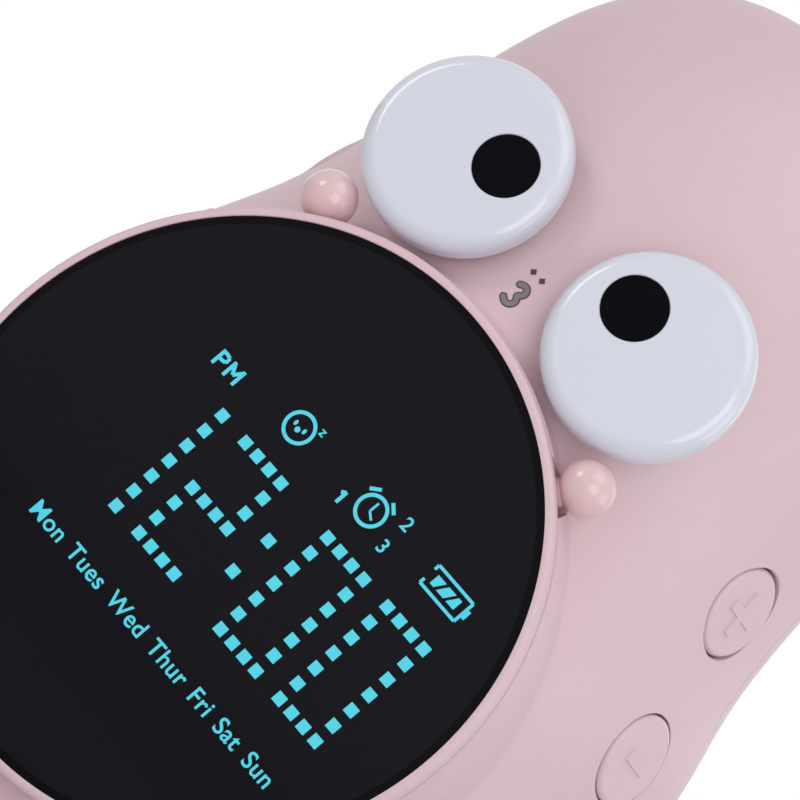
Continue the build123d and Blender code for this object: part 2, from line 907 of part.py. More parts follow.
def power_post_planes():
    """Planes of the tops of the power board's posts, looking up."""
    half = power_board_width / 2 - power_post_inset
    rear = power_board_back() - power_post_rear_inset
    front = power_board_back() - power_board_length + power_post_inset
    height = cover_top + power_board_lift
    return [Plane(origin=(across, along, height), z_dir=(0, 0, 1))
            for across in (-half, half) for along in (front, rear)]


def make_power_board():
    """Circuit board that carries the charging socket."""
    centre = power_board_back() - power_board_length / 2
    board = Box(power_board_width, power_board_length, board_thickness, align=FROM_FLOOR)
    board = Pos(0, centre, cover_top + power_board_lift) * board
    for plane in power_post_planes():
        board -= bar(plane, small_shank_radius + screw_fit, -board_thickness, 0)
    return board


def make_power_board_screws():
    """Screws that hold the power board."""
    screws = []
    for plane in power_post_planes():
        top = plane.offset(board_thickness)
        screws.append(small_screw(top, small_screw_length))
    return screws


def port_plane():
    """Plane of the mouth of the charging socket, looking back."""
    return Plane(origin=(0, port_back(), port_middle), x_dir=(-1, 0, 0), z_dir=(0, 1, 0))


def make_port():
    """Charging socket: a flattened metal shell with a tongue."""
    plane = port_plane()
    outline = RectangleRounded(port_width, port_height, port_corner)
    inner_width = port_width - 2 * port_wall
    inner = RectangleRounded(inner_width, port_height - 2 * port_wall, port_corner - port_wall)
    shell = extrude(plane * outline, -port_length)
    shell -= extrude(plane * inner, -(port_length - 2 * port_wall))
    tongue = plane.offset(-2 * port_wall) * Box(port_tongue_width, port_tongue_thickness,
                                                port_length - 3 * port_wall, align=FROM_CEILING)
    return shell + tongue


def port_slot():
    """Slot through the rear shell for the charging plug."""
    plane = port_plane()
    width = port_width + 2 * port_gap
    height = port_height + 2 * port_gap
    outline = RectangleRounded(width, height, port_corner + port_gap)
    return extrude(plane.offset(-port_length) * outline, 2 * port_length)


# Speaker

def speaker_seat_reach():
    """Distance from the case's axis back to the speaker's seat."""
    return skin_place(speaker_height)[0] - speaker_setback


def speaker_plane():
    """Plane of the speaker's front, looking back."""
    return Plane(origin=(0, speaker_seat_reach(), speaker_height), x_dir=(-1, 0, 0), z_dir=(0, 1, 0))


def make_speaker():
    """Speaker frame and magnet."""
    plane = speaker_plane()
    basket_back = speaker_flange + speaker_basket_depth
    basket = Cone(speaker_magnet_radius, speaker_basket_radius, speaker_basket_depth, align=FROM_FLOOR)
    frame = bar(plane, speaker_radius, 0, speaker_flange) + plane.offset(-basket_back) * basket
    depth = speaker_cone_depth + speaker_flange
    room = Cone(speaker_cap_radius, speaker_cone_radius, depth, align=FROM_FLOOR)
    frame -= plane.offset(-depth) * room
    return frame + bar(plane, speaker_magnet_radius, basket_back, basket_back + speaker_magnet_depth)


def make_speaker_cone():
    """Paper cone with its dust cap."""
    plane = speaker_plane()
    depth = speaker_cone_depth + speaker_flange
    outer = Cone(speaker_cap_radius, speaker_cone_radius, depth, align=FROM_FLOOR)
    inner = Pos(0, 0, speaker_cone_wall) * outer
    dome = Sphere(speaker_cap_radius, arc_size1=0, align=FROM_FLOOR)
    return plane.offset(-depth) * (outer - inner + dome)


# All nodes

def make_nodes():
    """Every piece of the clock by name."""
    front, rear = make_shells()
    left_hand, right_hand = [make_hand(plane) for plane in hand_planes()]
    board = make_switch_board()
    switches = make_switches()
    board_screws = make_switch_board_screws()
    set_button = make_button(upper_button_height, ring_mark())
    alarm_button = make_button(lower_button_height, bell_mark())
    nodes = {
        "front_shell": front,
        "rear_shell": rear,
        "case_screws": make_case_screws(),
        "base_cover": make_base_cover(),
        "base_screws": make_base_screws(),
        "rubber_feet": make_feet(),
        "display_rim": make_rim(),
        "display_lens": make_lens(),
        "light_block": make_light_block(),
        "display_board": make_display_board(),
        "display_screws": make_display_screws(),
        "left_hand": left_hand,
        "right_hand": right_hand,
        "plus_button": make_button(upper_button_height, stroke(0) + stroke(90)),
        "minus_button": make_button(lower_button_height, stroke(0)),
        "set_button": mirror(set_button, about=Plane.YZ),
        "alarm_button": mirror(alarm_button, about=Plane.YZ),
        "right_switch_board": board,
        "left_switch_board": mirror(board, about=Plane.YZ),
        "right_switches": switches,
        "left_switches": [mirror(switch, about=Plane.YZ) for switch in switches],
        "switch_board_screws": board_screws + [mirror(piece, about=Plane.YZ) for piece in board_screws],
        "battery_cradle": make_cradle(),
        "battery_cell": make_cell(),
        "battery_contacts": make_contacts(),
        "power_board": make_power_board(),
        "power_board_screws": make_power_board_screws(),
        "charging_socket": make_port(),
        "speaker": make_speaker(),
        "speaker_cone": make_speaker_cone(),
    }
    for side, name in ((-1, "left"), (1, "right")):
        nodes[name + "_eye"] = make_eye(side)
        nodes[name + "_pupil"] = make_pupil(side)
        nodes[name + "_eye_washer"] = make_eye_washer(side)
        nodes[name + "_eye_screw"] = make_eye_screw(side)
    return nodes


def main():
    """Write one file for each piece, set over the middle of the footprint."""
    os.makedirs("parts", exist_ok=True)
    centring = Pos(0, (display_reach - belly_radius) / 2, 0)
    for name, piece in make_nodes().items():
        solids = piece if isinstance(piece, list) else [piece]
        placed = [centring * solid for solid in solids]
        whole = placed[0] if len(placed) == 1 else Compound(children=placed)
        export_step(whole, "parts/" + name + ".step")


main()
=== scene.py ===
"""Visible pieces and finishes of a bedside alarm clock for children.

The file is laid out as an add-on and is run as a script.
"""

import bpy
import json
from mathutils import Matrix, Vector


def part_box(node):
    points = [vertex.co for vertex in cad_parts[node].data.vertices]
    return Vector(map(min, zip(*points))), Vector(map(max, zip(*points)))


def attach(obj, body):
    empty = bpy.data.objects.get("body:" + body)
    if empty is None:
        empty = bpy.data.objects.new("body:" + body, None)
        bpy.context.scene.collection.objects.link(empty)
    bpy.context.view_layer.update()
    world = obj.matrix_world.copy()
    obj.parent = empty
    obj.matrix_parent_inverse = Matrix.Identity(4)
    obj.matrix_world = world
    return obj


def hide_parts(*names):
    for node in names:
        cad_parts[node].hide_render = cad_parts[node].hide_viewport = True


bl_info = {
    "name": "Kids alarm clock",
    "version": (1, 0, 0),
    "blender": (4, 5, 0),
    "location": "3D View > Sidebar > Alarm clock",
    "description": "Builds the visible pieces and finishes of a bedside alarm clock around its packed frame",
    "category": "Object",
}

import itertools
import json
import math

import bmesh
import bpy
import numpy as np
from bpy.props import FloatProperty, FloatVectorProperty, PointerProperty
from mathutils import Matrix, Vector

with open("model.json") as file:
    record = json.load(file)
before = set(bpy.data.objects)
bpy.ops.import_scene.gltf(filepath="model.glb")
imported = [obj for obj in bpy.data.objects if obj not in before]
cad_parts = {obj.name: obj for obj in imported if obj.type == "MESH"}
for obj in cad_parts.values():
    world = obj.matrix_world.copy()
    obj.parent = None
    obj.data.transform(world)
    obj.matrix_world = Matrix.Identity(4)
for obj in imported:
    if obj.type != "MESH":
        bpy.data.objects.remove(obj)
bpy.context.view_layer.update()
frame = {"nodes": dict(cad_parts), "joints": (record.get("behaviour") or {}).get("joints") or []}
NODES = frame["nodes"]
JOINTS = {joint["name"]: joint for joint in frame["joints"]}

MM = 0.001
WELD = 0.0001 * MM
SEAM_WELD = 0.001 * MM
WORLD = Matrix.Identity(4)
CREASE = math.radians(32.0)

# Steps round large, middling and small circles, and along a rounded edge.
FINE = 360
MEDIUM = 128
COARSE = 48
ROUND_STEPS = 10

# Case outline. The places that shape it above the belly are shares of the belly's radius and of the
# rise from the belly to the top.
FOOT_STAND = 1.2 * MM
BELLY_RADIUS = 55.5 * MM
BELLY_HEIGHT = 54.0 * MM
BASE_DRAW_IN = 10.5 * MM
BASE_RADIUS = BELLY_RADIUS - BASE_DRAW_IN
BASE_ROUND = 4.0 * MM
TOP_HEIGHT = 166.0 * MM
OUTLINE_SHARES = [
    (0.979, 0.205),
    (0.897, 0.327),
    (0.832, 0.488),
    (0.777, 0.674),
    (0.670, 0.840),
    (0.463, 0.946),
    (0.334, 0.974),
]
CASE_WALL = 2.4 * MM
LIP_HEIGHT = 2.0 * MM
COVER_THICKNESS = 2.4 * MM
COVER_TOP = FOOT_STAND + COVER_THICKNESS
COVER_GAP = 0.1 * MM
OVERRUN = 1.0 * MM
SPAN = 400.0 * MM
FIT = 0.05 * MM

# Places read from the frame.
RIM_LOW, RIM_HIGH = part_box("display_rim")
FEET_LOW, FEET_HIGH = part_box("rubber_feet")
DISPLAY_HEIGHT = (RIM_LOW.z + RIM_HIGH.z) / 2
DISPLAY_FRONT = RIM_LOW.y
CASE_Y = (FEET_LOW.y + FEET_HIGH.y) / 2
PARTING_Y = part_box("rear_shell")[0].y + LIP_HEIGHT

# Display drum and rim; depths run back from the front of the rim.
RIM_RADIUS = 44.4 * MM
RIM_DEPTH = 2.4 * MM
RIM_GAP = 0.03 * MM
DRUM_RADIUS = 44.6 * MM
DRUM_WALL = 1.8 * MM
DRUM_BORE = DRUM_RADIUS - DRUM_WALL
DRUM_BLEND = 3.0 * MM
DRUM_FRONT = RIM_DEPTH + RIM_GAP
DRUM_SUNK = 0.015 * MM
DRUM_ROOT = 20.0 * MM
DRUM_PROBE = DRUM_BLEND / 50
DRUM_SEEKS = 24
BORE_REACH = 40.0 * MM
SLEEVE_RADIUS = DRUM_BORE - FIT
SLEEVE_WALL = 1.8 * MM
SLEEVE_BORE = SLEEVE_RADIUS - SLEEVE_WALL
SLEEVE_DEPTH = 9.0 * MM
SHELF_BACK = 12.6 * MM
LENS_RADIUS = 43.0 * MM
LENS_SEAT = LENS_RADIUS + FIT
LENS_RECESS = 0.2 * MM
LENS_THICKNESS = 1.4 * MM
LENS_BACK = LENS_RECESS + LENS_THICKNESS
LENS_CHAMFER = LENS_RECESS / 2
LENS_FIELD = 41.9 * MM
SEAT_EDGE = 0.15 * MM

# Hands and their notches. The visible ball is a little larger than the solid one, and nearer to the drum.
HAND_RADIUS = 4.0 * MM
HAND_SUNK = 0.4 * MM
HAND_REACH = DRUM_RADIUS - HAND_SUNK + HAND_RADIUS
HAND_TURN = math.radians(55.1)
HAND_DEPTH = 4.9 * MM
HAND_PEG = 2.0 * MM
NOTCH_WIDTH = 8.6 * MM
NOTCH_END_WIDTH = 3.4 * MM
NOTCH_DEPTH = 9.9 * MM

# Eyes and pupils.
EYE_RADIUS = 14.6 * MM
EYE_THICKNESS = 5.0 * MM
EYE_GAP = 0.3 * MM
EYE_BOSS_RADIUS = 8.0 * MM
EYE_BOSS_LENGTH = 11.2 * MM
EYE_STEM = 3.0 * MM
EYE_STEM_STAND = 0.1 * MM
EYE_STEM_LENGTH = EYE_GAP + EYE_BOSS_LENGTH + EYE_STEM_STAND
PUPIL_RADIUS = 4.65 * MM
PUPIL_DEPTH = 0.5 * MM
PUPIL_REACH = 6.2 * MM
PUPIL_EDGE = 0.12 * MM
PUPIL_TURNS = {"left": math.radians(23.0), "right": math.radians(157.0)}

# Side buttons. The visible cap is a little smaller than the solid one.
BUTTON_TURN = math.radians(72.3)
BUTTON_HEIGHTS = {"upper": 100.3 * MM, "lower": 75.9 * MM}
BUTTON_RADIUS = 7.0 * MM
BUTTON_DEPTH = 4.2 * MM
BUTTON_FLANGE = 9.4 * MM
BUTTON_FLANGE_DEPTH = 5.4 * MM
FLANGE_GAP = 0.02 * MM
BUTTON_COLLAR = 10.4 * MM
PLUNGER_RADIUS = 1.6 * MM
PLUNGER_END = 7.0 * MM
MARK_SLOPE_SHARE = 0.3
MINUS_LENGTH_SHARE = 0.8
MINUS_WIDTH_SHARE = 1.2
DISC_MARK_SHARE = 1 / 3


# Shapes

def smooth_line(places, first_way, last_way, steps):
    """Points of one smooth curve through the places, with its direction set at both ends."""
    points = np.array(places)
    spans = np.linalg.norm(np.diff(points, axis=0), axis=1)
    knots = np.concatenate(([0.0], np.cumsum(spans)))
    matrix = np.zeros((len(points), len(points)))
    right = np.zeros_like(points)
    matrix[0, 0] = matrix[-1, -1] = 1.0
    right[0] = first_way
    right[-1] = last_way
    for index in range(1, len(points) - 1):
        before, after = spans[index - 1], spans[index]
        matrix[index, index - 1:index + 2] = after, 2 * (before + after), before
        rise_before = (points[index] - points[index - 1]) / before
        rise_after = (points[index + 1] - points[index]) / after
        right[index] = 3 * (after * rise_before + before * rise_after)
    slopes = np.linalg.solve(matrix, right)
    line = []
    for place in np.linspace(0.0, knots[-1], steps + 1):
        index = min(int(np.searchsorted(knots, place, side="right")) - 1, len(spans) - 1)
        span = spans[index]
        share = (place - knots[index]) / span
        start = points[index] * (1 + 2 * share) * (1 - share) ** 2
        start = start + slopes[index] * span * share * (1 - share) ** 2
        end = points[index + 1] * share ** 2 * (3 - 2 * share)
        end = end + slopes[index + 1] * span * share ** 2 * (share - 1)
        line.append(tuple(start + end))
    return line


def arc(centre, radius, first_turn, last_turn, steps=ROUND_STEPS):
    """Points of an arc in a section, from one angle to another."""
    points = []
    for step in range(steps + 1):
        turn = first_turn + (last_turn - first_turn) * step / steps
        points.append((centre[0] + radius * math.cos(turn), centre[1] + radius * math.sin(turn)))
    return points


def side_line():
    """Section of the case's side, from the edge of the base to the top."""
    drop = BELLY_HEIGHT - FOOT_STAND
    draw_in = BELLY_RADIUS - BASE_RADIUS
    radius = (drop ** 2 + draw_in ** 2) / (2 * draw_in)
    middle = (BELLY_RADIUS - radius, BELLY_HEIGHT)
    round_height = FOOT_STAND + BASE_ROUND
    reach = math.sqrt((radius - BASE_ROUND) ** 2 - (round_height - BELLY_HEIGHT) ** 2)
    low_turn = math.atan2(round_height - BELLY_HEIGHT, reach)
    corner = (middle[0] + reach, round_height)
    base = arc(corner, BASE_ROUND, -math.pi / 2, low_turn)
    lower = arc(middle, radius, low_turn, 0.0, COARSE)
    rise = TOP_HEIGHT - BELLY_HEIGHT
    places = [(BELLY_RADIUS, BELLY_HEIGHT)]
    places += [(BELLY_RADIUS * across, BELLY_HEIGHT + rise * along) for across, along in OUTLINE_SHARES]
    upper = smooth_line(places + [(0.0, TOP_HEIGHT)], (0.0, 1.0), (-1.0, 0.0), MEDIUM)
    return base + lower[1:] + upper[1:]


SIDE = side_line()


def inner_side(inset):
    """The case's side drawn in by an inset, open through the base."""
    points = []
    for index, (radius, height) in enumerate(SIDE):
        if height < FOOT_STAND + BASE_ROUND:
            continue
        before = SIDE[index - 1]
        after = SIDE[min(index + 1, len(SIDE) - 1)]
        way = Vector((after[0] - before[0], after[1] - before[1])).normalized()
        points.append((max(radius - inset * way.y, 0.0), height + inset * way.x))
    points[-1] = (0.0, SIDE[-1][1] - inset)
    foot = points[0][0]
    return [(0.0, -OVERRUN), (foot - OVERRUN / 2, -OVERRUN)] + points


def skin_at(height):
    """Radius of the skin at a height, and the angle by which its outside looks up."""
    for (low_radius, low), (high_radius, high) in zip(SIDE, SIDE[1:]):
        if low <= height <= high:
            share = (height - low) / (high - low)
            pitch = math.atan2(low_radius - high_radius, high - low)
            return low_radius + (high_radius - low_radius) * share, pitch
    return 0.0, math.pi / 2


def facing(origin, turn, pitch):
    """Place whose Z looks out of the case at an angle from the front, raised by a pitch."""
    outward = Vector((math.sin(turn) * math.cos(pitch), -math.cos(turn) * math.cos(pitch), math.sin(pitch)))
    sideways = Vector((math.cos(turn), math.sin(turn), 0.0))
    return axes_place(origin, sideways, outward)


def axes_place(origin, sideways, outward):
    """Place with its X and Z given as directions."""
    along = outward.cross(sideways).normalized()
    turned = Matrix((sideways, along, outward)).transposed().to_4x4()
    return Matrix.Translation(origin) @ turned


def facing_skin(turn, height):
    """Place on the skin at an angle from the front and a height."""
    radius, pitch = skin_at(height)
    origin = Vector((radius * math.sin(turn), CASE_Y - radius * math.cos(turn), height))
    return facing(origin, turn, pitch)


UPRIGHT = Matrix.Translation((0.0, CASE_Y, 0.0))
DISPLAY = axes_place((0.0, DISPLAY_FRONT, DISPLAY_HEIGHT), Vector((1, 0, 0)), Vector((0, -1, 0)))


def new_piece(name, data):
    """New object in the scene with its data."""
    piece = bpy.data.objects.new(name, data)
    bpy.context.scene.collection.objects.link(piece)
    return piece


def mesh_piece(name, points, faces):
    """New object from points and faces, with its faces looking out."""
    mesh = bpy.data.meshes.new(name)
    mesh.from_pydata(points, [], faces)
    work = bmesh.new()
    work.from_mesh(mesh)
    bmesh.ops.remove_doubles(work, verts=work.verts, dist=WELD)
    bmesh.ops.recalc_face_normals(work, faces=work.faces)
    work.to_mesh(mesh)
    work.free()
    return new_piece(name, mesh)


def lathe(name, section, place, steps=MEDIUM):
    """Solid turned from a section of (radius, depth) points, about the Z of a place."""
    points = []
    rings = []
    for radius, depth in section:
        count = 1 if radius == 0 else steps
        rings.append([len(points) + step for step in range(count)])
        for step in range(count):
            turn = math.tau * step / steps
            points.append(place @ Vector((radius * math.cos(turn), radius * math.sin(turn), depth)))
    if len(rings[0]) > 1:
        rings.append(rings[0])
    faces = []
    for low, high in zip(rings, rings[1:]):
        for step in range(steps):
            after = (step + 1) % steps
            corners = [low[step % len(low)], low[after % len(low)]]
            corners += [high[after % len(high)], high[step % len(high)]]
            face = list(dict.fromkeys(corners))
            if len(face) > 2:
                faces.append(face)
    return mesh_piece(name, points, faces)


def rod(name, radius, near, far, place, steps=MEDIUM):
    """Round bar between two depths behind a place."""
    return lathe(name, [(0.0, -near), (radius, -near), (radius, -far), (0.0, -far)], place, steps)


def pipe(name, outer, inner, near, far, place, steps=MEDIUM):
    """Round tube between two depths behind a place."""
    return lathe(name, [(inner, -near), (outer, -near), (outer, -far), (inner, -far)], place, steps)


def block(name, low, high, place):
    """Box between two corners in a place."""
    points = [place @ Vector(corner) for corner in itertools.product(*zip(low, high))]
    faces = [(0, 1, 3, 2), (4, 6, 7, 5), (0, 4, 5, 1), (2, 3, 7, 6), (0, 2, 6, 4), (1, 5, 7, 3)]
    return mesh_piece(name, points, faces)


def plates(name, outlines, low, high, place):
    """Solids with flat outlines, between two heights in a place."""
    points = []
    faces = []
    for outline in outlines:
        start = len(points)
        count = len(outline)
        points += [place @ Vector((x, y, z)) for z in (low, high) for x, y in outline]
        faces.append(list(range(start, start + count))[::-1])
        faces.append(list(range(start + count, start + 2 * count)))
        for index in range(count):
            after = (index + 1) % count
            faces.append([start + index, start + after, start + after + count, start + index + count])
    return mesh_piece(name, points, faces)


def combine(piece, tools, operation):
    """Join tools to a piece, cut them out of it or keep what they share; the tools are used up."""
    for tool in tools:
        modifier = piece.modifiers.new("combine", "BOOLEAN")
        modifier.operation = operation
        modifier.solver = "MANIFOLD"
        modifier.object = tool
        graph = bpy.context.evaluated_depsgraph_get()
        mesh = bpy.data.meshes.new_from_object(piece.evaluated_get(graph))
        piece.modifiers.clear()
        if not mesh.polygons:
            raise RuntimeError(piece.name + " came out empty")
        spent = piece.data
        piece.data = mesh
        bpy.data.meshes.remove(spent)
        bpy.data.objects.remove(tool)
    return piece


def cut(piece, *tools):
    """Cut tools out of a piece."""
    return combine(piece, tools, "DIFFERENCE")


def add(piece, *tools):
    """Join tools to a piece."""
    return combine(piece, tools, "UNION")


def flipped(piece):
    """The same piece, mirrored to the other side of the clock."""
    piece.data.transform(Matrix.Scale(-1, 4, Vector((1, 0, 0))))
    piece.data.flip_normals()
    return piece


def finish_piece(piece, finish, body, node):
    """Shade a piece, give it its finish and let it stand for its node."""
    piece.data.name = piece.name
    piece.data.materials.clear()
    piece.data.materials.append(FINISHES[finish])
    piece.data.shade_smooth()
    piece.data.set_sharp_from_angle(angle=CREASE)
    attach(piece, body)
    if node:
        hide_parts(node)
    return piece


def finish_node(node, finish):
    """Give a node that keeps its own shape its finish."""
    mesh = NODES[node].data
    mesh.materials.clear()
    mesh.materials.append(FINISHES[finish])


# Finishes

# Sizes of the patterns in the finishes, and how deep they go.
GRAIN = 0.22 * MM
GRAIN_DEPTH = 0.012 * MM
CLOUD = 9.0 * MM
WAVE = 7.0 * MM
WAVE_DEPTH = 0.02 * MM
HAZE = 0.6 * MM
DRAWN_LINES = 0.3 * MM
DRAWN_DEPTH = 0.004 * MM
DULL_PATCHES = 1.5 * MM
TRACK = 3.0 * MM
TRACK_GAP_SHARE = 0.06
TRACK_DEPTH = 0.03 * MM
MASK_GRAIN = 0.8 * MM
LENS_HAZE = 2.5 * MM
LENS_EDGE_BLUR = 0.05 * MM
LIGHT_CLOUD = 6.0 * MM
RUBBER_GRAIN = 0.5 * MM
PAPER_GRAIN = 0.6 * MM
PAPER_DEPTH = 0.05 * MM
FLOOR_GRAIN = 20.0 * MM

# Colours of the floor and of the pieces inside.
FLOOR_WHITE = (0.86, 0.86, 0.87)
BLOCK_WHITE = (0.8, 0.8, 0.8)
SWITCH_BLACK = (0.03, 0.03, 0.03)
PAPER_BLACK = (0.045, 0.045, 0.045)
BOARD_GREEN = (0.02, 0.22, 0.10)
ZINC = (0.55, 0.55, 0.57)
NICKEL = (0.72, 0.70, 0.66)
STEEL = (0.70, 0.70, 0.72)
DARK_STEEL = (0.12, 0.12, 0.13)
CELL_BLUE = (0.10, 0.30, 0.55)

# Levels between which most of a noise's values lie.
NOISE_LOW = 0.3
NOISE_HIGH = 0.7


def new_finish(name):
    """Material with its shader, object coordinates and a helper that adds nodes."""
    material = bpy.data.materials.new(name)
    material.use_nodes = True
    nodes = material.node_tree.nodes
    place = nodes.new("ShaderNodeTexCoord").outputs["Object"]
    return material, nodes, material.node_tree.links, nodes["Principled BSDF"], place


def noise(nodes, links, place, size, detail=3.0):
    """Noise whose lumps are about a size across."""
    texture = nodes.new("ShaderNodeTexNoise")
    texture.inputs["Scale"].default_value = 1.0 / size
    texture.inputs["Detail"].default_value = detail
    links.new(place, texture.inputs["Vector"])
    return texture.outputs["Fac"]


def spread(nodes, links, source, low, high, socket):
    """Send a value into a socket, spread between two levels."""
    ramp = nodes.new("ShaderNodeMapRange")
    ramp.inputs["From Min"].default_value = NOISE_LOW
    ramp.inputs["From Max"].default_value = NOISE_HIGH
    ramp.inputs["To Min"].default_value = low
    ramp.inputs["To Max"].default_value = high
    links.new(source, ramp.inputs["Value"])
    links.new(ramp.outputs["Result"], socket)


def tint(nodes, links, source, colour, shade, socket):
    """Mix a colour with a darker or lighter shade of it by a value."""
    mix = nodes.new("ShaderNodeMix")
    mix.data_type = "RGBA"
    mix.inputs["A"].default_value = (*colour, 1.0)
    mix.inputs["B"].default_value = (*[min(part * shade, 1.0) for part in colour], 1.0)
    links.new(source, mix.inputs["Factor"])
    links.new(mix.outputs["Result"], socket)


def relief(nodes, links, source, depth, shader):
    """Raise the surface by a value, to a depth."""
    bump = nodes.new("ShaderNodeBump")
    bump.inputs["Distance"].default_value = depth
    links.new(source, bump.inputs["Height"])
    links.new(bump.outputs["Normal"], shader.inputs["Normal"])


def moulded_finish(name, colour, roughness, grain=GRAIN, depth=GRAIN_DEPTH, mottle=0.97, gloss=0.5):
    """Moulded plastic: a fine sparked grain, faint cloudiness of colour and uneven sheen."""
    material, nodes, links, shader, place = new_finish(name)
    shader.inputs["Specular IOR Level"].default_value = gloss
    fine = noise(nodes, links, place, grain)
    cloud = noise(nodes, links, place, CLOUD, 4.0)
    tint(nodes, links, cloud, colour, mottle, shader.inputs["Base Color"])
    spread(nodes, links, fine, roughness * 0.92, roughness * 1.08, shader.inputs["Roughness"])
    relief(nodes, links, fine, depth, shader)
    return material


def polished_finish(name, colour, roughness, coat=0.0, mottle=0.985):
    """Polished plastic: smooth, with the slow waviness of a moulding and a little haze."""
    material, nodes, links, shader, place = new_finish(name)
    shader.inputs["Coat Weight"].default_value = coat
    shader.inputs["Coat Roughness"].default_value = 0.04
    wave = noise(nodes, links, place, WAVE, 1.0)
    haze = noise(nodes, links, place, HAZE, 4.0)
    tint(nodes, links, haze, colour, mottle, shader.inputs["Base Color"])
    spread(nodes, links, haze, roughness * 0.8, roughness * 1.2, shader.inputs["Roughness"])
    relief(nodes, links, wave, WAVE_DEPTH, shader)
    return material


def metal_finish(name, colour, roughness, stretch):
    """Metal with fine drawn lines and small dull patches."""
    material, nodes, links, shader, place = new_finish(name)
    shader.inputs["Metallic"].default_value = 1.0
    mapping = nodes.new("ShaderNodeMapping")
    mapping.inputs["Scale"].default_value = stretch
    links.new(place, mapping.inputs["Vector"])
    lines = noise(nodes, links, mapping.outputs["Vector"], DRAWN_LINES, 5.0)
    patches = noise(nodes, links, place, DULL_PATCHES)
    tint(nodes, links, patches, colour, 0.85, shader.inputs["Base Color"])
    spread(nodes, links, lines, roughness * 0.7, roughness * 1.3, shader.inputs["Roughness"])
    relief(nodes, links, lines, DRAWN_DEPTH, shader)
    return material


def board_finish(name, colour):
    """Circuit board: solder mask over copper tracks."""
    material, nodes, links, shader, place = new_finish(name)
    tracks = nodes.new("ShaderNodeTexBrick")
    tracks.inputs["Scale"].default_value = 1.0 / TRACK
    tracks.inputs["Mortar Size"].default_value = TRACK_GAP_SHARE
    tracks.inputs["Color1"].default_value = (*colour, 1.0)
    tracks.inputs["Color2"].default_value = (*[part * 0.9 for part in colour], 1.0)
    tracks.inputs["Mortar"].default_value = (*[part * 1.6 for part in colour], 1.0)
    turned = nodes.new("ShaderNodeMapping")
    turned.inputs["Rotation"].default_value = (math.radians(90), 0.0, 0.0)
    links.new(place, turned.inputs["Vector"])
    links.new(turned.outputs["Vector"], tracks.inputs["Vector"])
    links.new(tracks.outputs["Color"], shader.inputs["Base Color"])
    grain = noise(nodes, links, place, MASK_GRAIN)
    spread(nodes, links, grain, 0.28, 0.4, shader.inputs["Roughness"])
    relief(nodes, links, tracks.outputs["Fac"], TRACK_DEPTH, shader)
    return material


def lens_finish(name, colour, border):
    """Smoked lens: a black printed border round a slightly lighter field, polished."""
    material, nodes, links, shader, place = new_finish(name)
    shader.inputs["Specular IOR Level"].default_value = 0.08
    split = nodes.new("ShaderNodeSeparateXYZ")
    links.new(place, split.inputs["Vector"])
    flat = nodes.new("ShaderNodeCombineXYZ")
    raised = nodes.new("ShaderNodeMath")
    raised.operation = "SUBTRACT"
    raised.inputs[1].default_value = DISPLAY_HEIGHT
    links.new(split.outputs["Z"], raised.inputs[0])
    links.new(split.outputs["X"], flat.inputs["X"])
    links.new(raised.outputs["Value"], flat.inputs["Y"])
    reach = nodes.new("ShaderNodeVectorMath")
    reach.operation = "LENGTH"
    links.new(flat.outputs["Vector"], reach.inputs[0])
    edge = nodes.new("ShaderNodeMapRange")
    edge.inputs["From Min"].default_value = border - LENS_EDGE_BLUR
    edge.inputs["From Max"].default_value = border + LENS_EDGE_BLUR
    links.new(reach.outputs["Value"], edge.inputs["Value"])
    tint(nodes, links, edge.outputs["Result"], colour, 0.25, shader.inputs["Base Color"])
    haze = noise(nodes, links, place, LENS_HAZE, 2.0)
    spread(nodes, links, haze, 0.05, 0.09, shader.inputs["Roughness"])
    return material


def light_finish(name, colour, strength):
    """Lit mark on the display, a little uneven from one light to the next."""
    material, nodes, links, shader, place = new_finish(name)
    shader.inputs["Base Color"].default_value = (*[part * 0.1 for part in colour], 1.0)
    shader.inputs["Emission Strength"].default_value = strength
    uneven = noise(nodes, links, place, LIGHT_CLOUD, 1.0)
    tint(nodes, links, uneven, colour, 0.92, shader.inputs["Emission Color"])
    spread(nodes, links, uneven, 0.1, 0.16, shader.inputs["Roughness"])
    return material


FINISHES = {}


def make_finishes(colours):
    """All finishes of the clock, by their own names."""
    FINISHES.update({
        "case": moulded_finish("case_satin", colours.case, 0.46),
        "button": moulded_finish("button_satin", colours.button, 0.42),
        "hand": polished_finish("hand_gloss", colours.hand, 0.16, coat=0.3),
        "eye": polished_finish("eye_gloss", colours.eye, 0.14, coat=0.4),
        "pupil": moulded_finish("pupil_black", colours.pupil, 0.5, mottle=0.8, gloss=0.04),
        "lens": lens_finish("lens_smoke", colours.lens, LENS_FIELD),
        "light": light_finish("display_light", colours.light, 0.88),
        "ink": moulded_finish("face_ink", colours.ink, 0.55, mottle=0.9),
        "ink_edge": moulded_finish("face_ink_edge", colours.ink_edge, 0.55, mottle=0.9),
        "foot": moulded_finish("foot_rubber", colours.foot, 0.75, RUBBER_GRAIN, mottle=0.9, gloss=0.3),
        "block": moulded_finish("block_white", BLOCK_WHITE, 0.5),
        "switch": moulded_finish("switch_black", SWITCH_BLACK, 0.45, mottle=0.8),
        "paper": moulded_finish("cone_paper", PAPER_BLACK, 0.8, PAPER_GRAIN, PAPER_DEPTH),
        "board": board_finish("board_green", BOARD_GREEN),
        "screw": metal_finish("screw_zinc", ZINC, 0.35, (1.0, 1.0, 6.0)),
        "spring": metal_finish("contact_nickel", NICKEL, 0.28, (1.0, 6.0, 1.0)),
        "socket": metal_finish("socket_steel", STEEL, 0.25, (6.0, 1.0, 1.0)),
        "speaker": metal_finish("speaker_steel", DARK_STEEL, 0.45, (1.0, 1.0, 1.0)),
        "cell": polished_finish("cell_sleeve", CELL_BLUE, 0.3, mottle=0.9),
    })


# Settings

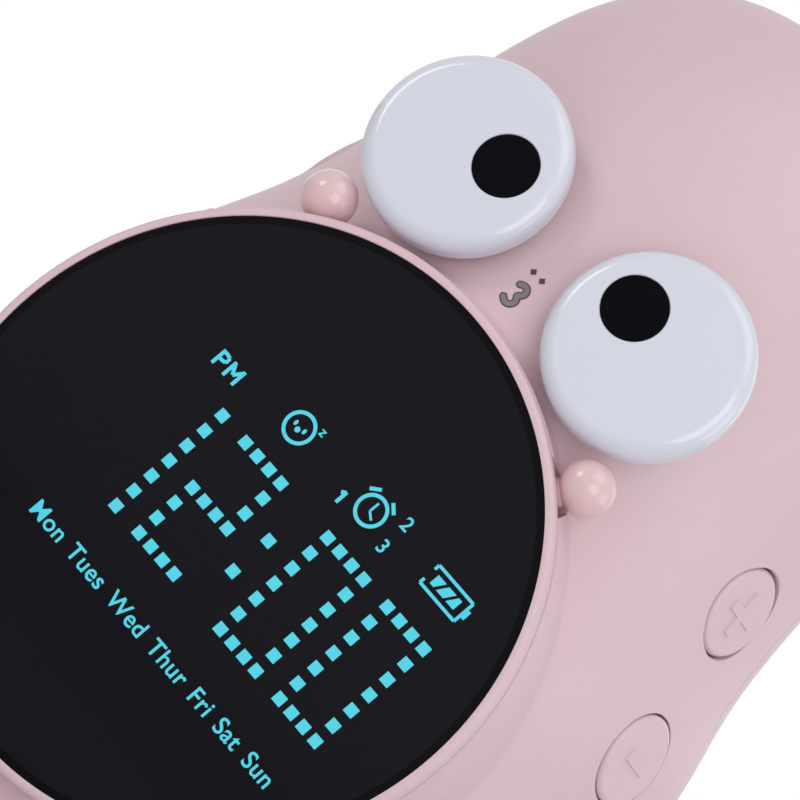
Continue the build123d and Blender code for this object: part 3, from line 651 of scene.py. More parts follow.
def colour_setting(name, description, default):
    """Colour that can be set."""
    return FloatVectorProperty(name=name, description=description, default=default,
                               subtype="COLOR", min=0, max=1)


def length_setting(name, description, default, **limits):
    """Length that can be set."""
    return FloatProperty(name=name, description=description, default=default, unit="LENGTH", **limits)


def angle_setting(name, description, default):
    """Angle that can be set."""
    return FloatProperty(name=name, description=description, default=default, subtype="ANGLE")


class ClockColours(bpy.types.PropertyGroup):
    """Colours of the clock's finishes."""
    case: colour_setting("Case", "Moulded case, drum and rim", (0.725, 0.53, 0.57))
    button: colour_setting("Buttons", "Side buttons", (0.725, 0.54, 0.58))
    hand: colour_setting("Hands", "Ball hands", (0.78, 0.54, 0.56))
    eye: colour_setting("Eyes", "Eye discs", (0.70, 0.72, 0.81))
    pupil: colour_setting("Pupils", "Pupil discs", (0.002, 0.002, 0.004))
    lens: colour_setting("Lens", "Smoked display lens", (0.006, 0.006, 0.010))
    light: colour_setting("Lights", "Lit digits and signs", (0.074, 0.672, 0.823))
    ink: colour_setting("Ink", "Printed mouth", (0.22, 0.195, 0.195))
    ink_edge: colour_setting("Ink edge", "Darker line round the mouth, and the dots", (0.06, 0.048, 0.05))
    foot: colour_setting("Feet", "Rubber feet", (0.55, 0.47, 0.48))


class ClockSizes(bpy.types.PropertyGroup):
    """Sizes of the clock's edges, lights and print."""
    mouth: length_setting("Hole rounding", "Rounding of the holes for the buttons", 0.12 * MM, min=0.05 * MM)
    seam: length_setting("Seam", "Width and depth of the line between the shells", 0.18 * MM, min=0.0)
    lip: length_setting("Rim rounding", "Rounding of the rim's outer edge", 0.9 * MM, min=0.1 * MM)
    eye_front: length_setting("Eye front rounding", "Rounding of an eye's front edge", 2.3 * MM, min=0.5 * MM)
    eye_back: length_setting("Eye back rounding", "Rounding of an eye's back edge", 1.3 * MM, min=0.2 * MM)
    button_gap: length_setting("Button gap", "Gap round a side button", 0.34 * MM, min=0.1 * MM)
    button_edge: length_setting("Button rounding", "Rounding of a cap's front edge", 0.8 * MM, min=0.1 * MM)
    mark_height: length_setting("Mark height", "How far a button's mark stands out", 0.32 * MM, min=0.05 * MM)
    mark_length: length_setting("Mark length", "Length of a button's mark", 7.2 * MM, min=1.0 * MM)
    mark_width: length_setting("Mark width", "Width of a mark's strokes", 1.7 * MM, min=0.3 * MM)
    light: length_setting("Light", "Side of one square light of the display", 1.64 * MM, min=0.5 * MM)
    light_across: length_setting("Light columns", "Spacing of the columns of lights", 2.53 * MM, min=1.0 * MM)
    light_along: length_setting("Light rows", "Spacing of the rows of lights", 3.10 * MM, min=1.0 * MM)
    film: length_setting("Film", "Thickness of lit marks and print", 0.03 * MM, min=0.005 * MM)


class ClockStage(bpy.types.PropertyGroup):
    """Camera and lamps."""
    camera_turn: angle_setting("Camera turn", "Angle of the camera round the clock", math.radians(19.01))
    camera_rise: angle_setting("Camera rise", "Angle of the camera above the clock", math.radians(-2.87))
    camera_roll: angle_setting("Camera roll", "Roll of the camera", math.radians(49.71))
    camera_distance: length_setting("Camera distance", "From the camera to what it aims at", 706.0 * MM)
    aim_right: length_setting("Aim right", "How far right of the display's middle it aims", 2.71 * MM)
    aim_up: length_setting("Aim up", "How far above the display's middle it aims", 28.37 * MM)
    focal: FloatProperty(name="Focal length", description="Focal length of the camera, in millimetres",
                         default=238.7, unit="CAMERA")
    lamps: FloatProperty(name="Lamps", description="Strength of all lamps together", default=0.315, min=0.0)
    sky: FloatProperty(name="Sky", description="Strength of the light from all round", default=0.44, min=0.0)


# Case

def skin_rise(reach, ways):
    """How far the skin is in front of the case's axis at a reach from the display's middle, less a little."""
    radius = skin_at(DISPLAY_HEIGHT + reach * ways[1])[0]
    return math.sqrt(max(radius ** 2 - (reach * ways[0]) ** 2, 0.0)) - DRUM_SUNK


def drum_section(ways):
    """Section of the drum and its blend in one direction from the display's middle."""
    low = DRUM_RADIUS
    high = DRUM_RADIUS + DRUM_BLEND
    for _ in range(DRUM_SEEKS):
        foot = (low + high) / 2
        drop = skin_rise(foot - DRUM_PROBE, ways) - skin_rise(foot + DRUM_PROBE, ways)
        slope = drop / (2 * DRUM_PROBE)
        out = slope / math.hypot(slope, 1.0)
        if foot + DRUM_BLEND * out < DRUM_RADIUS + DRUM_BLEND:
            low = foot
        else:
            high = foot
    up = 1.0 / math.hypot(slope, 1.0)
    root = skin_rise(foot, ways)
    front = CASE_Y - DISPLAY_FRONT - DRUM_FRONT
    centre = (DRUM_RADIUS + DRUM_BLEND, root + DRUM_BLEND * up)
    blend = arc(centre, DRUM_BLEND, math.pi, math.pi + math.atan2(up, out))
    line = [(0.0, DRUM_ROOT), (DRUM_RADIUS, DRUM_ROOT), (foot - OVERRUN / 2, root - OVERRUN)]
    return line + blend[::-1] + [(DRUM_RADIUS, front), (0.0, front)]


def drum_flare(steps):
    """Drum that rises out of the case, with a blend at its foot that follows the skin."""
    points = []
    for step in range(steps):
        turn = math.tau * step / steps
        ways = math.cos(turn), math.sin(turn)
        line = drum_section(ways)
        for reach, out in line:
            points.append((reach * ways[0], CASE_Y - out, DISPLAY_HEIGHT + reach * ways[1]))
    size = len(line)
    faces = []
    for step in range(steps):
        first = step * size
        after = (step + 1) % steps * size
        for index in range(size - 1):
            faces.append([first + index, after + index, after + index + 1, first + index + 1])
    return mesh_piece("drum", points, faces)


def hand_place(side):
    """Place of a hand's centre, looking out along the drum's radius; side is -1 or 1."""
    across = side * math.cos(HAND_TURN)
    along = math.sin(HAND_TURN)
    height = DISPLAY_HEIGHT + HAND_REACH * along
    centre = Vector((HAND_REACH * across, DISPLAY_FRONT + HAND_DEPTH, height))
    return axes_place(centre, Vector((0, -1, 0)), Vector((across, 0, along)))


def eye_place(name):
    """Place of the back of an eye, from the joint that it turns on."""
    joint = JOINTS[name + "_eye_turn"]
    outward = Vector(joint["axis"]).normalized()
    sideways = Vector((0, 0, 1)).cross(outward).normalized()
    return axes_place(Vector(joint["pos_m"]), sideways, outward)


def button_place(height):
    """Place on the skin of a button of the right side."""
    return facing_skin(BUTTON_TURN, height)


def make_shell(sizes):
    """Thin-walled front shell without its mouldings, with a fine step along the seam."""
    skin = lathe("front_shell_skin", [(0.0, FOOT_STAND)] + SIDE, UPRIGHT, FINE)
    shell = cut(skin, lathe("hollow", inner_side(CASE_WALL), UPRIGHT, FINE))
    shell = cut(shell, block("floor", (-SPAN, -SPAN, -SPAN), (SPAN, SPAN, COVER_TOP + COVER_GAP), UPRIGHT))
    shell = cut(shell, block("behind", (-SPAN, PARTING_Y, -SPAN), (SPAN, SPAN, SPAN), WORLD))
    low = (-SPAN, PARTING_Y - sizes.seam, -OVERRUN)
    seam = block("seam", low, (SPAN, PARTING_Y + OVERRUN, SPAN), WORLD)
    seam = cut(seam, lathe("core", inner_side(sizes.seam), UPRIGHT, FINE))
    return cut(shell, seam)


def make_front_shell(front, sizes):
    """Front shell with all that is moulded on it, and its openings."""
    drum = drum_flare(FINE)
    drum = cut(drum, lathe("hollow", inner_side(CASE_WALL), UPRIGHT, FINE))
    front = add(front, drum)
    shelf = pipe("shelf", DRUM_RADIUS, DRUM_BORE - OVERRUN, SLEEVE_DEPTH, SHELF_BACK, DISPLAY, FINE)
    front = add(front, shelf)
    front = cut(front, rod("bore", DRUM_BORE, -BORE_REACH, BORE_REACH, DISPLAY, FINE))
    for name in ("left", "right"):
        place = eye_place(name)
        boss = rod("boss", EYE_BOSS_RADIUS, EYE_GAP, EYE_GAP + EYE_BOSS_LENGTH, place)
        front = add(front, boss)
        bore = rod("stem_bore", EYE_STEM + FIT, -OVERRUN, EYE_BOSS_LENGTH + 2 * OVERRUN, place)
        front = cut(front, bore)
    for height in BUTTON_HEIGHTS.values():
        place = button_place(height)
        hole = BUTTON_RADIUS + sizes.button_gap
        mouth = arc((hole + sizes.mouth, -sizes.mouth), sizes.mouth, math.pi, math.pi / 2)
        section = [(0.0, -BUTTON_FLANGE_DEPTH), (hole, -BUTTON_FLANGE_DEPTH)] + mouth
        section += [(hole + sizes.mouth, OVERRUN), (0.0, OVERRUN)]
        for side in (-1, 1):
            collar = pipe("collar", BUTTON_COLLAR, hole - OVERRUN, CASE_WALL / 2, BUTTON_DEPTH, place)
            tool = lathe("hole", section, place)
            for piece in (collar, tool):
                if side < 0:
                    flipped(piece)
            front = add(front, collar)
            front = cut(front, tool)
    for side in (-1, 1):
        front = cut(front, notch_wedge(hand_place(side)))
    front.name = "front_shell_skin"
    return front


def notch_wedge(place):
    """Tool for a hand's notch, wide at the rim and narrower behind."""
    mouth = HAND_DEPTH - RIM_DEPTH
    end = HAND_DEPTH - NOTCH_DEPTH
    outline = [(mouth, -NOTCH_WIDTH / 2), (mouth, NOTCH_WIDTH / 2)]
    outline += [(end, NOTCH_END_WIDTH / 2), (end, -NOTCH_END_WIDTH / 2)]
    reach = HAND_REACH - DRUM_BORE + OVERRUN
    return plates("notch", [outline], -reach, reach, place)


class CLOCK_OT_case(bpy.types.Operator):
    """Build the front shell of the case and finish the rear one"""
    bl_idname = "clock.case"
    bl_label = "Case"

    def execute(self, context):
        """Build, shade and place the front shell; the rear one keeps its own shape."""
        sizes = context.scene.clock_sizes
        front = make_front_shell(make_shell(sizes), sizes)
        finish_piece(front, "case", "case", "front_shell")
        finish_node("rear_shell", "case")
        return {"FINISHED"}


# Display

class CLOCK_OT_display(bpy.types.Operator):
    """Build the display's rim and lens"""
    bl_idname = "clock.display"
    bl_label = "Display"

    def execute(self, context):
        """Build, shade and place the rim and lens."""
        sizes = context.scene.clock_sizes
        corner = (RIM_RADIUS - sizes.lip, -sizes.lip)
        inner = (LENS_SEAT + SEAT_EDGE, -SEAT_EDGE)
        section = [(LENS_SEAT, -LENS_BACK)] + arc(inner, SEAT_EDGE, math.pi, math.pi / 2)
        section += arc(corner, sizes.lip, math.pi / 2, 0.0)
        section += [(RIM_RADIUS, -RIM_DEPTH), (SLEEVE_RADIUS, -RIM_DEPTH), (SLEEVE_RADIUS, -SLEEVE_DEPTH)]
        section += [(SLEEVE_BORE, -SLEEVE_DEPTH), (SLEEVE_BORE, -LENS_BACK)]
        rim = lathe("display_rim_ring", section, DISPLAY, FINE)
        for side in (-1, 1):
            reach = HAND_REACH - SLEEVE_BORE + OVERRUN
            rim = cut(rim, rod("peg", HAND_PEG + FIT, 0.0, reach, hand_place(side), COARSE))
        finish_piece(rim, "case", "case", "display_rim")
        section = [(0.0, -LENS_BACK), (LENS_RADIUS, -LENS_BACK)]
        section += [(LENS_RADIUS, -LENS_RECESS - LENS_CHAMFER)]
        section += [(LENS_RADIUS - LENS_CHAMFER, -LENS_RECESS), (0.0, -LENS_RECESS)]
        lens = lathe("display_lens_disc", section, DISPLAY, FINE)
        finish_piece(lens, "lens", "case", "display_lens")
        return {"FINISHED"}


# Column and row of lights at the middle of the display.
COLUMN_SHARE = 2.68
ROW_SHARE = 2.935
TIME = (("1", -2), ("2", 0), (":", 5), ("0", 7), ("0", 12))
DIGITS = {
    "0": ("1111", "1001", "1001", "1001", "1001", "1001", "1111"),
    "1": ("1", "1", "1", "1", "1", "1", "1"),
    "2": ("1111", "0001", "0001", "1111", "1000", "1000", "1111"),
    ":": ("0", "0", "1", "0", "1", "0", "0"),
}

# Share of the film's thickness that lit marks take up, and half the share that letters do.
FILM_SHARE = 0.9
LETTER_SHARE = 0.4

# Sleeping face: its middle, and the middle and half sizes of its lids and nose.
SIGN_RADIUS = 2.18 * MM
SIGN_STROKE = 0.53 * MM
SNOOZE_PLACE = (-3.47 * MM, 15.83 * MM)
SNOOZE_SPOTS = (
    (-0.88 * MM, 0.14 * MM, 0.25 * MM, 0.42 * MM),
    (0.88 * MM, 0.14 * MM, 0.25 * MM, 0.42 * MM),
    (0.0, -0.35 * MM, 0.42 * MM, 0.42 * MM),
)

# Alarm clock: its middle, its hands and its two bells.
ALARM_PLACE = (11.93 * MM, 15.82 * MM)
ALARM_HANDS = ((-0.06 * MM, 1.4 * MM), (-0.08 * MM, -0.18 * MM), (1.04 * MM, -0.88 * MM))
ALARM_HAND_STROKE = 0.34 * MM
BELL_REACH = 3.0 * MM
BELL_HALF = 0.84 * MM
BELL_TURNS = (math.radians(52), math.radians(129))

# Battery: two corners of its frame, the half gap on its left, its nub and its bars.
BATTERY_LOW = (23.85 * MM, 14.5 * MM)
BATTERY_HIGH = (30.95 * MM, 17.9 * MM)
BATTERY_STROKE_SHARE = 0.85
BATTERY_MOUTH = 0.9 * MM
NUB_LENGTH = 0.75 * MM
NUB_WIDTH = 1.4 * MM
BAR_INSET = 0.95 * MM
BAR_HALF = 0.8 * MM
BARS = (
    (0.0, 0.75 * MM, 1.7 * MM, 0.0),
    (1.3 * MM, 2.8 * MM, 3.75 * MM, 2.25 * MM),
    (3.3 * MM, 4.9 * MM, 4.9 * MM, 4.25 * MM),
)

# Letters and a digit in plain strokes, in millimetres from a lower left corner in millimetres.
LETTER_P = (
    [(0.0, -0.25), (0.0, 2.3)],
    [(-0.2, 2.05), (0.85, 2.05), (1.25, 1.9), (1.45, 1.55), (1.25, 1.15), (0.85, 1.0), (0.0, 1.0)],
)
LETTER_M = ([(0.0, -0.25), (0.0, 2.3)], [(0.0, 2.1), (0.95, 0.75), (1.9, 2.1)], [(1.9, 2.3), (1.9, -0.25)])
DIGIT_1 = ([(0.45, 0.0), (0.45, 2.0)], [(-0.15, 1.45), (0.45, 1.9)])
STROKE_SIGNS = ((-18.65, 12.93, LETTER_P), (-16.3, 12.93, LETTER_M), (7.35, 12.99, DIGIT_1))

# Small words: text, capital height, and the middle of their baseline.
SMALL_WORDS = (
    ("z", 1.45 * MM, -0.77 * MM, 17.2 * MM),
    ("2", 2.0 * MM, 16.66 * MM, 17.26 * MM),
    ("3", 2.0 * MM, 16.76 * MM, 12.95 * MM),
)
DAYS = "Mon Tues Wed Thur Fri Sat Sun".split()
DAYS_START = -19.4 * MM
DAYS_LENGTH = 50.96 * MM
DAYS_LINE = -18.8 * MM
DAYS_HEIGHT = 2.4 * MM
CAPITAL_SHARE = 0.7
BOLD_SHARE = 0.012
SPACING_SHARE = 1.06


def film(name, outlines, sizes):
    """Thin flat marks in front of the lens, from outlines in the display's own directions."""
    lift = -LENS_RECESS + sizes.film
    return plates(name, outlines, lift, lift - sizes.film * FILM_SHARE, DISPLAY)


def square(across, along, side):
    """Outline of an upright square."""
    half = side / 2
    return [(across - half, along - half), (across + half, along - half),
            (across + half, along + half), (across - half, along + half)]


def band(points, stroke):
    """Outlines of a line of a stroke's width along points, one for each run."""
    outlines = []
    for (x0, y0), (x1, y1) in zip(points, points[1:]):
        way = Vector((x1 - x0, y1 - y0)).normalized() * stroke / 2
        outlines.append([(x0 + way.y, y0 - way.x), (x1 + way.y, y1 - way.x),
                         (x1 - way.y, y1 + way.x), (x0 - way.y, y0 + way.x)])
    return outlines


def ring(centre, radius, stroke):
    """Outlines of a circle of a stroke's width."""
    outlines = []
    outer = arc(centre, radius + stroke / 2, 0.0, math.tau, COARSE)
    inner = arc(centre, radius - stroke / 2, 0.0, math.tau, COARSE)
    for index in range(COARSE):
        outlines.append([inner[index], outer[index], outer[index + 1], inner[index + 1]])
    return outlines


def oval(centre, across, along, steps=COARSE):
    """Outline of an upright oval."""
    turns = [math.tau * step / steps for step in range(steps)]
    return [(centre[0] + across * math.cos(turn), centre[1] + along * math.sin(turn)) for turn in turns]


def lettering(words, height, across, along, sizes, side=0.0):
    """Short plain word and its width; a share of the width stands left of a place on its baseline."""
    scale = height / CAPITAL_SHARE
    curve = bpy.data.curves.new("words", "FONT")
    curve.body = words
    curve.offset = BOLD_SHARE
    curve.space_character = SPACING_SHARE
    curve.extrude = sizes.film * LETTER_SHARE / scale
    text = new_piece("words", curve)
    graph = bpy.context.evaluated_depsgraph_get()
    mesh = bpy.data.meshes.new_from_object(text.evaluated_get(graph))
    bpy.data.objects.remove(text)
    mesh.transform(Matrix.Scale(scale, 4))
    edges = [vertex.co.x for vertex in mesh.vertices]
    low, width = min(edges), max(edges) - min(edges)
    start = (across - low - width * side, along, sizes.film / 2 - LENS_RECESS)
    mesh.transform(DISPLAY @ Matrix.Translation(start))
    return new_piece("words", mesh), width


def merged(name, pieces):
    """One object from several."""
    work = bmesh.new()
    for piece in pieces:
        work.from_mesh(piece.data)
        bpy.data.objects.remove(piece)
    mesh = bpy.data.meshes.new(name)
    work.to_mesh(mesh)
    work.free()
    return new_piece(name, mesh)


class CLOCK_OT_digits(bpy.types.Operator):
    """Build the display's lit digits, signs and day names"""
    bl_idname = "clock.digits"
    bl_label = "Digits"

    def execute(self, context):
        """Lay out the time in square lights, and the signs round it."""
        sizes = context.scene.clock_sizes
        squares = []
        for sign, column in TIME:
            for row, lights in enumerate(DIGITS[sign]):
                for step, lit in enumerate(lights):
                    if lit == "1":
                        across = (column + step - COLUMN_SHARE) * sizes.light_across
                        along = (ROW_SHARE - row) * sizes.light_along
                        squares.append(square(across, along, sizes.light))
        time = film("display_time", squares, sizes)
        finish_piece(time, "light", "case", None)
        signs = make_signs(sizes)
        finish_piece(signs, "light", "case", None)
        return {"FINISHED"}


def snooze_sign():
    """Outlines of a round sleeping face."""
    across, along = SNOOZE_PLACE
    outlines = ring(SNOOZE_PLACE, SIGN_RADIUS, SIGN_STROKE)
    for x, z, half_across, half_along in SNOOZE_SPOTS:
        outlines.append(oval((across + x, along + z), half_across, half_along))
    return outlines


def alarm_sign():
    """Outlines of a small clock with two bells."""
    across, along = ALARM_PLACE
    outlines = ring(ALARM_PLACE, SIGN_RADIUS, SIGN_STROKE)
    outlines += band([(across + x, along + z) for x, z in ALARM_HANDS], ALARM_HAND_STROKE)
    for turn in BELL_TURNS:
        bell = Vector((across + BELL_REACH * math.cos(turn), along + BELL_REACH * math.sin(turn)))
        way = Vector((-math.sin(turn), math.cos(turn))) * BELL_HALF
        outlines += band([bell - way, bell + way], SIGN_STROKE)
    return outlines


def battery_sign():
    """Outlines of a battery with three slanted bars, its frame open on the left."""
    (left, low), (right, high) = BATTERY_LOW, BATTERY_HIGH
    middle = (low + high) / 2
    frame_line = [(left, middle + BATTERY_MOUTH), (left, high), (right, high)]
    frame_line += [(right, low), (left, low), (left, middle - BATTERY_MOUTH)]
    outlines = band(frame_line, SIGN_STROKE * BATTERY_STROKE_SHARE)
    outlines += band([(right, middle), (right + NUB_LENGTH, middle)], NUB_WIDTH)
    for bar in BARS:
        heights = (middle - BAR_HALF, middle - BAR_HALF, middle + BAR_HALF, middle + BAR_HALF)
        outlines.append([(left + BAR_INSET + x, height) for x, height in zip(bar, heights)])
    return outlines


def stroke_signs():
    """Outlines of the letters and the digit that are drawn with plain strokes."""
    outlines = []
    for left, low, strokes in STROKE_SIGNS:
        for stroke in strokes:
            outlines += band([((left + x) * MM, (low + z) * MM) for x, z in stroke], SIGN_STROKE)
    return outlines


def make_signs(sizes):
    """Snooze face, alarm clock, battery, small digits and day names."""
    outlines = snooze_sign() + alarm_sign() + battery_sign() + stroke_signs()
    pieces = [film("signs", outlines, sizes)]
    for words, height, across, along in SMALL_WORDS:
        pieces.append(lettering(words, height, across, along, sizes, 0.5)[0])
    days = [lettering(day, DAYS_HEIGHT, DAYS_START, DAYS_LINE, sizes) for day in DAYS]
    gap = (DAYS_LENGTH - sum(width for _, width in days)) / (len(days) - 1)
    start = 0.0
    for piece, width in days:
        piece.data.transform(Matrix.Translation((start, 0.0, 0.0)))
        pieces.append(piece)
        start += width + gap
    return merged("display_signs", pieces)


# Eyes and hands

def pupil_place(name):
    """Place of an eye's front at the middle of its pupil."""
    turn = PUPIL_TURNS[name]
    middle = Vector((PUPIL_REACH * math.cos(turn), PUPIL_REACH * math.sin(turn), EYE_THICKNESS))
    return eye_place(name) @ Matrix.Translation(middle)


def make_eye(name, sizes):
    """Eye disc with soft edges, its stem and the recess for its pupil."""
    section = [(0.0, -EYE_STEM_LENGTH), (EYE_STEM, -EYE_STEM_LENGTH), (EYE_STEM, 0.0)]
    back = (EYE_RADIUS - sizes.eye_back, sizes.eye_back)
    section += arc(back, sizes.eye_back, -math.pi / 2, 0.0)
    front = (EYE_RADIUS - sizes.eye_front, EYE_THICKNESS - sizes.eye_front)
    section += arc(front, sizes.eye_front, 0.0, math.pi / 2) + [(0.0, EYE_THICKNESS)]
    recess = PUPIL_RADIUS + FIT
    rim = recess + PUPIL_EDGE
    hole = [(0.0, -PUPIL_DEPTH), (recess, -PUPIL_DEPTH), (recess, -PUPIL_EDGE), (rim, 0.0)]
    hole += [(rim, OVERRUN), (0.0, OVERRUN)]
    eye = lathe(name + "_eye_disc", section, eye_place(name), FINE)
    return cut(eye, lathe("recess", hole, pupil_place(name)))


def make_pupil(name):
    """Pupil disc with a fine edge."""
    edge = PUPIL_EDGE / 2
    section = [(0.0, -PUPIL_DEPTH), (PUPIL_RADIUS, -PUPIL_DEPTH), (PUPIL_RADIUS, -edge)]
    section += [(PUPIL_RADIUS - edge, 0.0), (0.0, 0.0)]
    return lathe(name + "_pupil_disc", section, pupil_place(name))


class CLOCK_OT_eyes(bpy.types.Operator):
    """Build the turning eyes and their pupils"""
    bl_idname = "clock.eyes"
    bl_label = "Eyes"

    def execute(self, context):
        """Build, shade and place both eyes."""
        for name in ("left", "right"):
            eye = make_eye(name, context.scene.clock_sizes)
            finish_piece(eye, "eye", name + "_eye_turner", name + "_eye")
            pupil = make_pupil(name)
            finish_piece(pupil, "pupil", name + "_eye_turner", name + "_pupil")
        return {"FINISHED"}


class CLOCK_OT_hands(bpy.types.Operator):
    """Build the two ball hands"""
    bl_idname = "clock.hands"
    bl_label = "Hands"

    def execute(self, context):
        """Build, shade and place both hands."""
        peg_reach = HAND_REACH - SLEEVE_BORE
        meet = math.asin(HAND_PEG / HAND_RADIUS)
        for side, name in ((-1, "left"), (1, "right")):
            ball = arc((0.0, 0.0), HAND_RADIUS, -math.pi / 2 + meet, math.pi / 2, COARSE)
            ball[-1] = (0.0, HAND_RADIUS)
            section = [(0.0, -peg_reach), (HAND_PEG, -peg_reach)] + ball
            hand = lathe(name + "_hand_ball", section, hand_place(side))
            finish_piece(hand, "hand", "case", name + "_hand")
        return {"FINISHED"}


# Buttons

def raised_stroke(name, length, width, height, turn, place):
    """Raised bar with sloping sides on a button's face."""
    slope = height * MARK_SLOPE_SHARE
    rows = [(0.0, -height), (0.0, 0.0), (slope, height)]
    points = []
    spin = place @ Matrix.Rotation(turn, 4, "Z")
    for inset, depth in rows:
        half = (length / 2 - inset, width / 2 - inset)
        for x, y in ((-1, -1), (1, -1), (1, 1), (-1, 1)):
            points.append(spin @ Vector((x * half[0], y * half[1], depth)))
    faces = [[3, 2, 1, 0], [8, 9, 10, 11]]
    for row in (0, 4):
        for step in range(4):
            after = (step + 1) % 4
            faces.append([row + step, row + after, row + after + 4, row + step + 4])
    return mesh_piece(name, points, faces)


def make_button(name, height, sizes):
    """Button cap with a rounded rim, a flange and a plunger, without its mark."""
    place = button_place(height)
    corner = (BUTTON_RADIUS - sizes.button_edge, -sizes.button_edge)
    section = [(0.0, -PLUNGER_END), (PLUNGER_RADIUS, -PLUNGER_END), (PLUNGER_RADIUS, -BUTTON_FLANGE_DEPTH)]
    flange = -BUTTON_DEPTH - FLANGE_GAP
    section += [(BUTTON_FLANGE, -BUTTON_FLANGE_DEPTH), (BUTTON_FLANGE, flange), (BUTTON_RADIUS, flange)]
    section += arc(corner, sizes.button_edge, 0.0, math.pi / 2) + [(0.0, 0.0)]
    return lathe(name, section, place)


def button_mark(name, sizes, place):
    """Solids of a button's raised mark: a cross, a bar, a ring or a plain disc."""
    length, width, height = sizes.mark_length, sizes.mark_width, sizes.mark_height
    if name == "plus":
        return [raised_stroke("mark", length, width, height, turn, place) for turn in (0.0, math.pi / 2)]
    if name == "minus":
        length, width = length * MINUS_LENGTH_SHARE, width * MINUS_WIDTH_SHARE
        return [raised_stroke("mark", length, width, height, 0.0, place)]
    if name == "set":
        return [pipe("mark", length / 2, length / 2 - width, -height, height, place)]
    return [rod("mark", length * DISC_MARK_SHARE, -height, height, place)]


class CLOCK_OT_buttons(bpy.types.Operator):
    """Build the four side buttons"""
    bl_idname = "clock.buttons"
    bl_label = "Buttons"

    def execute(self, context):
        """Build, shade and place the buttons with their marks."""
        sizes = context.scene.clock_sizes
        for name, level in (("plus", "upper"), ("minus", "lower"), ("set", "upper"), ("alarm", "lower")):
            button = make_button(name + "_button_cap", BUTTON_HEIGHTS[level], sizes)
            add(button, *button_mark(name, sizes, button_place(BUTTON_HEIGHTS[level])))
            if name in ("set", "alarm"):
                flipped(button)
            finish_piece(button, "button", name + "_key", name + "_button")
        return {"FINISHED"}


# Printed face

# How far the print's solids reach into the skin, the steps of the mouth's line and of its discs, and how
# many films thick the edge and the ink are.
PRINT_SUNK = 0.3 * MM
POUT_STEPS = 26
DISC_STEPS = 20
EDGE_FILMS = 2
INK_FILMS = 3

# Mouth: its middle from the display's middle, and points of its line in millimetres from there.
MOUTH_ACROSS = -0.40 * MM
MOUTH_RISE = 49.86 * MM
MOUTH_EDGE_WIDTH = 1.1 * MM
MOUTH_WIDTH = 0.72 * MM
POUT_PLACES = ((-0.75, 1.35), (-0.30, 1.62), (0.35, 1.62), (0.82, 1.05), (0.62, 0.35), (0.30, 0.0),
               (0.66, -0.40), (0.80, -1.05), (0.35, -1.68), (-0.35, -1.72), (-0.90, -1.40))
POUT_START_WAY = (0.9, 0.45)
POUT_END_WAY = (-0.9, 0.45)

# Dots above the mouth.
DOTS_ACROSS = -0.47 * MM
DOTS_RISE = 53.72 * MM
DOT_SIDE = 0.9 * MM
DOT_HALF = 0.55 * MM


def print_on_skin(name, outlines, lift):
    """Thin printed mark laid on the skin, joined from flat outlines seen from the front."""
    marks = [plates(name, [outline], -PRINT_SUNK, lift, WORLD) for outline in outlines]
    mark = add(marks[0], *marks[1:])
    for vertex in mark.data.vertices:
        across, height, out = vertex.co
        radius = skin_at(height)[0] + out
        vertex.co = (across, CASE_Y - math.sqrt(radius ** 2 - across ** 2), height)
    mark.name = name
    return mark


def pout_line():
    """Centre line of the pouting mouth: two lobes open to the left, seen from the front."""
    height = DISPLAY_HEIGHT + MOUTH_RISE
    places = [(MOUTH_ACROSS + x * MM, height + z * MM) for x, z in POUT_PLACES]
    return smooth_line(places, POUT_START_WAY, POUT_END_WAY, POUT_STEPS)


def stroke_outlines(line, width):
    """Outlines that together make a line of a width: a run between two points and a disc at each."""
    half = width / 2
    discs = [oval(point, half, half, DISC_STEPS) for point in line]
    return discs + band(line, width)


class CLOCK_OT_face(bpy.types.Operator):
    """Print the small pouting mouth and the two dots above it"""
    bl_idname = "clock.face"
    bl_label = "Printed face"

    def execute(self, context):
        """Build, shade and place the print and the darker line round it."""
        sizes = context.scene.clock_sizes
        line = pout_line()
        for name, width, films, finish in (("printed_mouth_edge", MOUTH_EDGE_WIDTH, EDGE_FILMS, "ink_edge"),
                                           ("printed_mouth", MOUTH_WIDTH, INK_FILMS, "ink")):
            mouth = print_on_skin(name, stroke_outlines(line, width), films * sizes.film)
            finish_piece(mouth, finish, "case", None)
        for side, name in ((-1, "printed_dot_left"), (1, "printed_dot_right")):
            middle = (DOTS_ACROSS + side * DOT_SIDE, DISPLAY_HEIGHT + DOTS_RISE)
            dot = print_on_skin(name, [oval(middle, DOT_HALF, DOT_HALF, 4)], EDGE_FILMS * sizes.film)
            finish_piece(dot, "ink_edge", "case", None)
        return {"FINISHED"}


# Inside, base and stage

# Cross recess of a screw: its reach as a share of the head's radius, the width of its slots and its depth.
CROSS_SHARE = 0.62
CROSS_WIDTH = 0.55 * MM
CROSS_DEPTH = 0.8 * MM

NODE_FINISHES = {
    "base_cover": "case", "rubber_feet": "foot", "light_block": "block", "speaker_cone": "paper",
    "display_screws": "screw", "switch_board_screws": "screw",
    "power_board_screws": "screw", "left_eye_screw": "screw", "right_eye_screw": "screw",
    "left_eye_washer": "spring", "right_eye_washer": "spring", "battery_contacts": "spring",
    "display_board": "board", "right_switch_board": "board", "left_switch_board": "board",
    "power_board": "board", "right_switches": "switch", "left_switches": "switch", "battery_cradle": "switch",
    "battery_cell": "cell", "charging_socket": "socket", "speaker": "speaker",
}


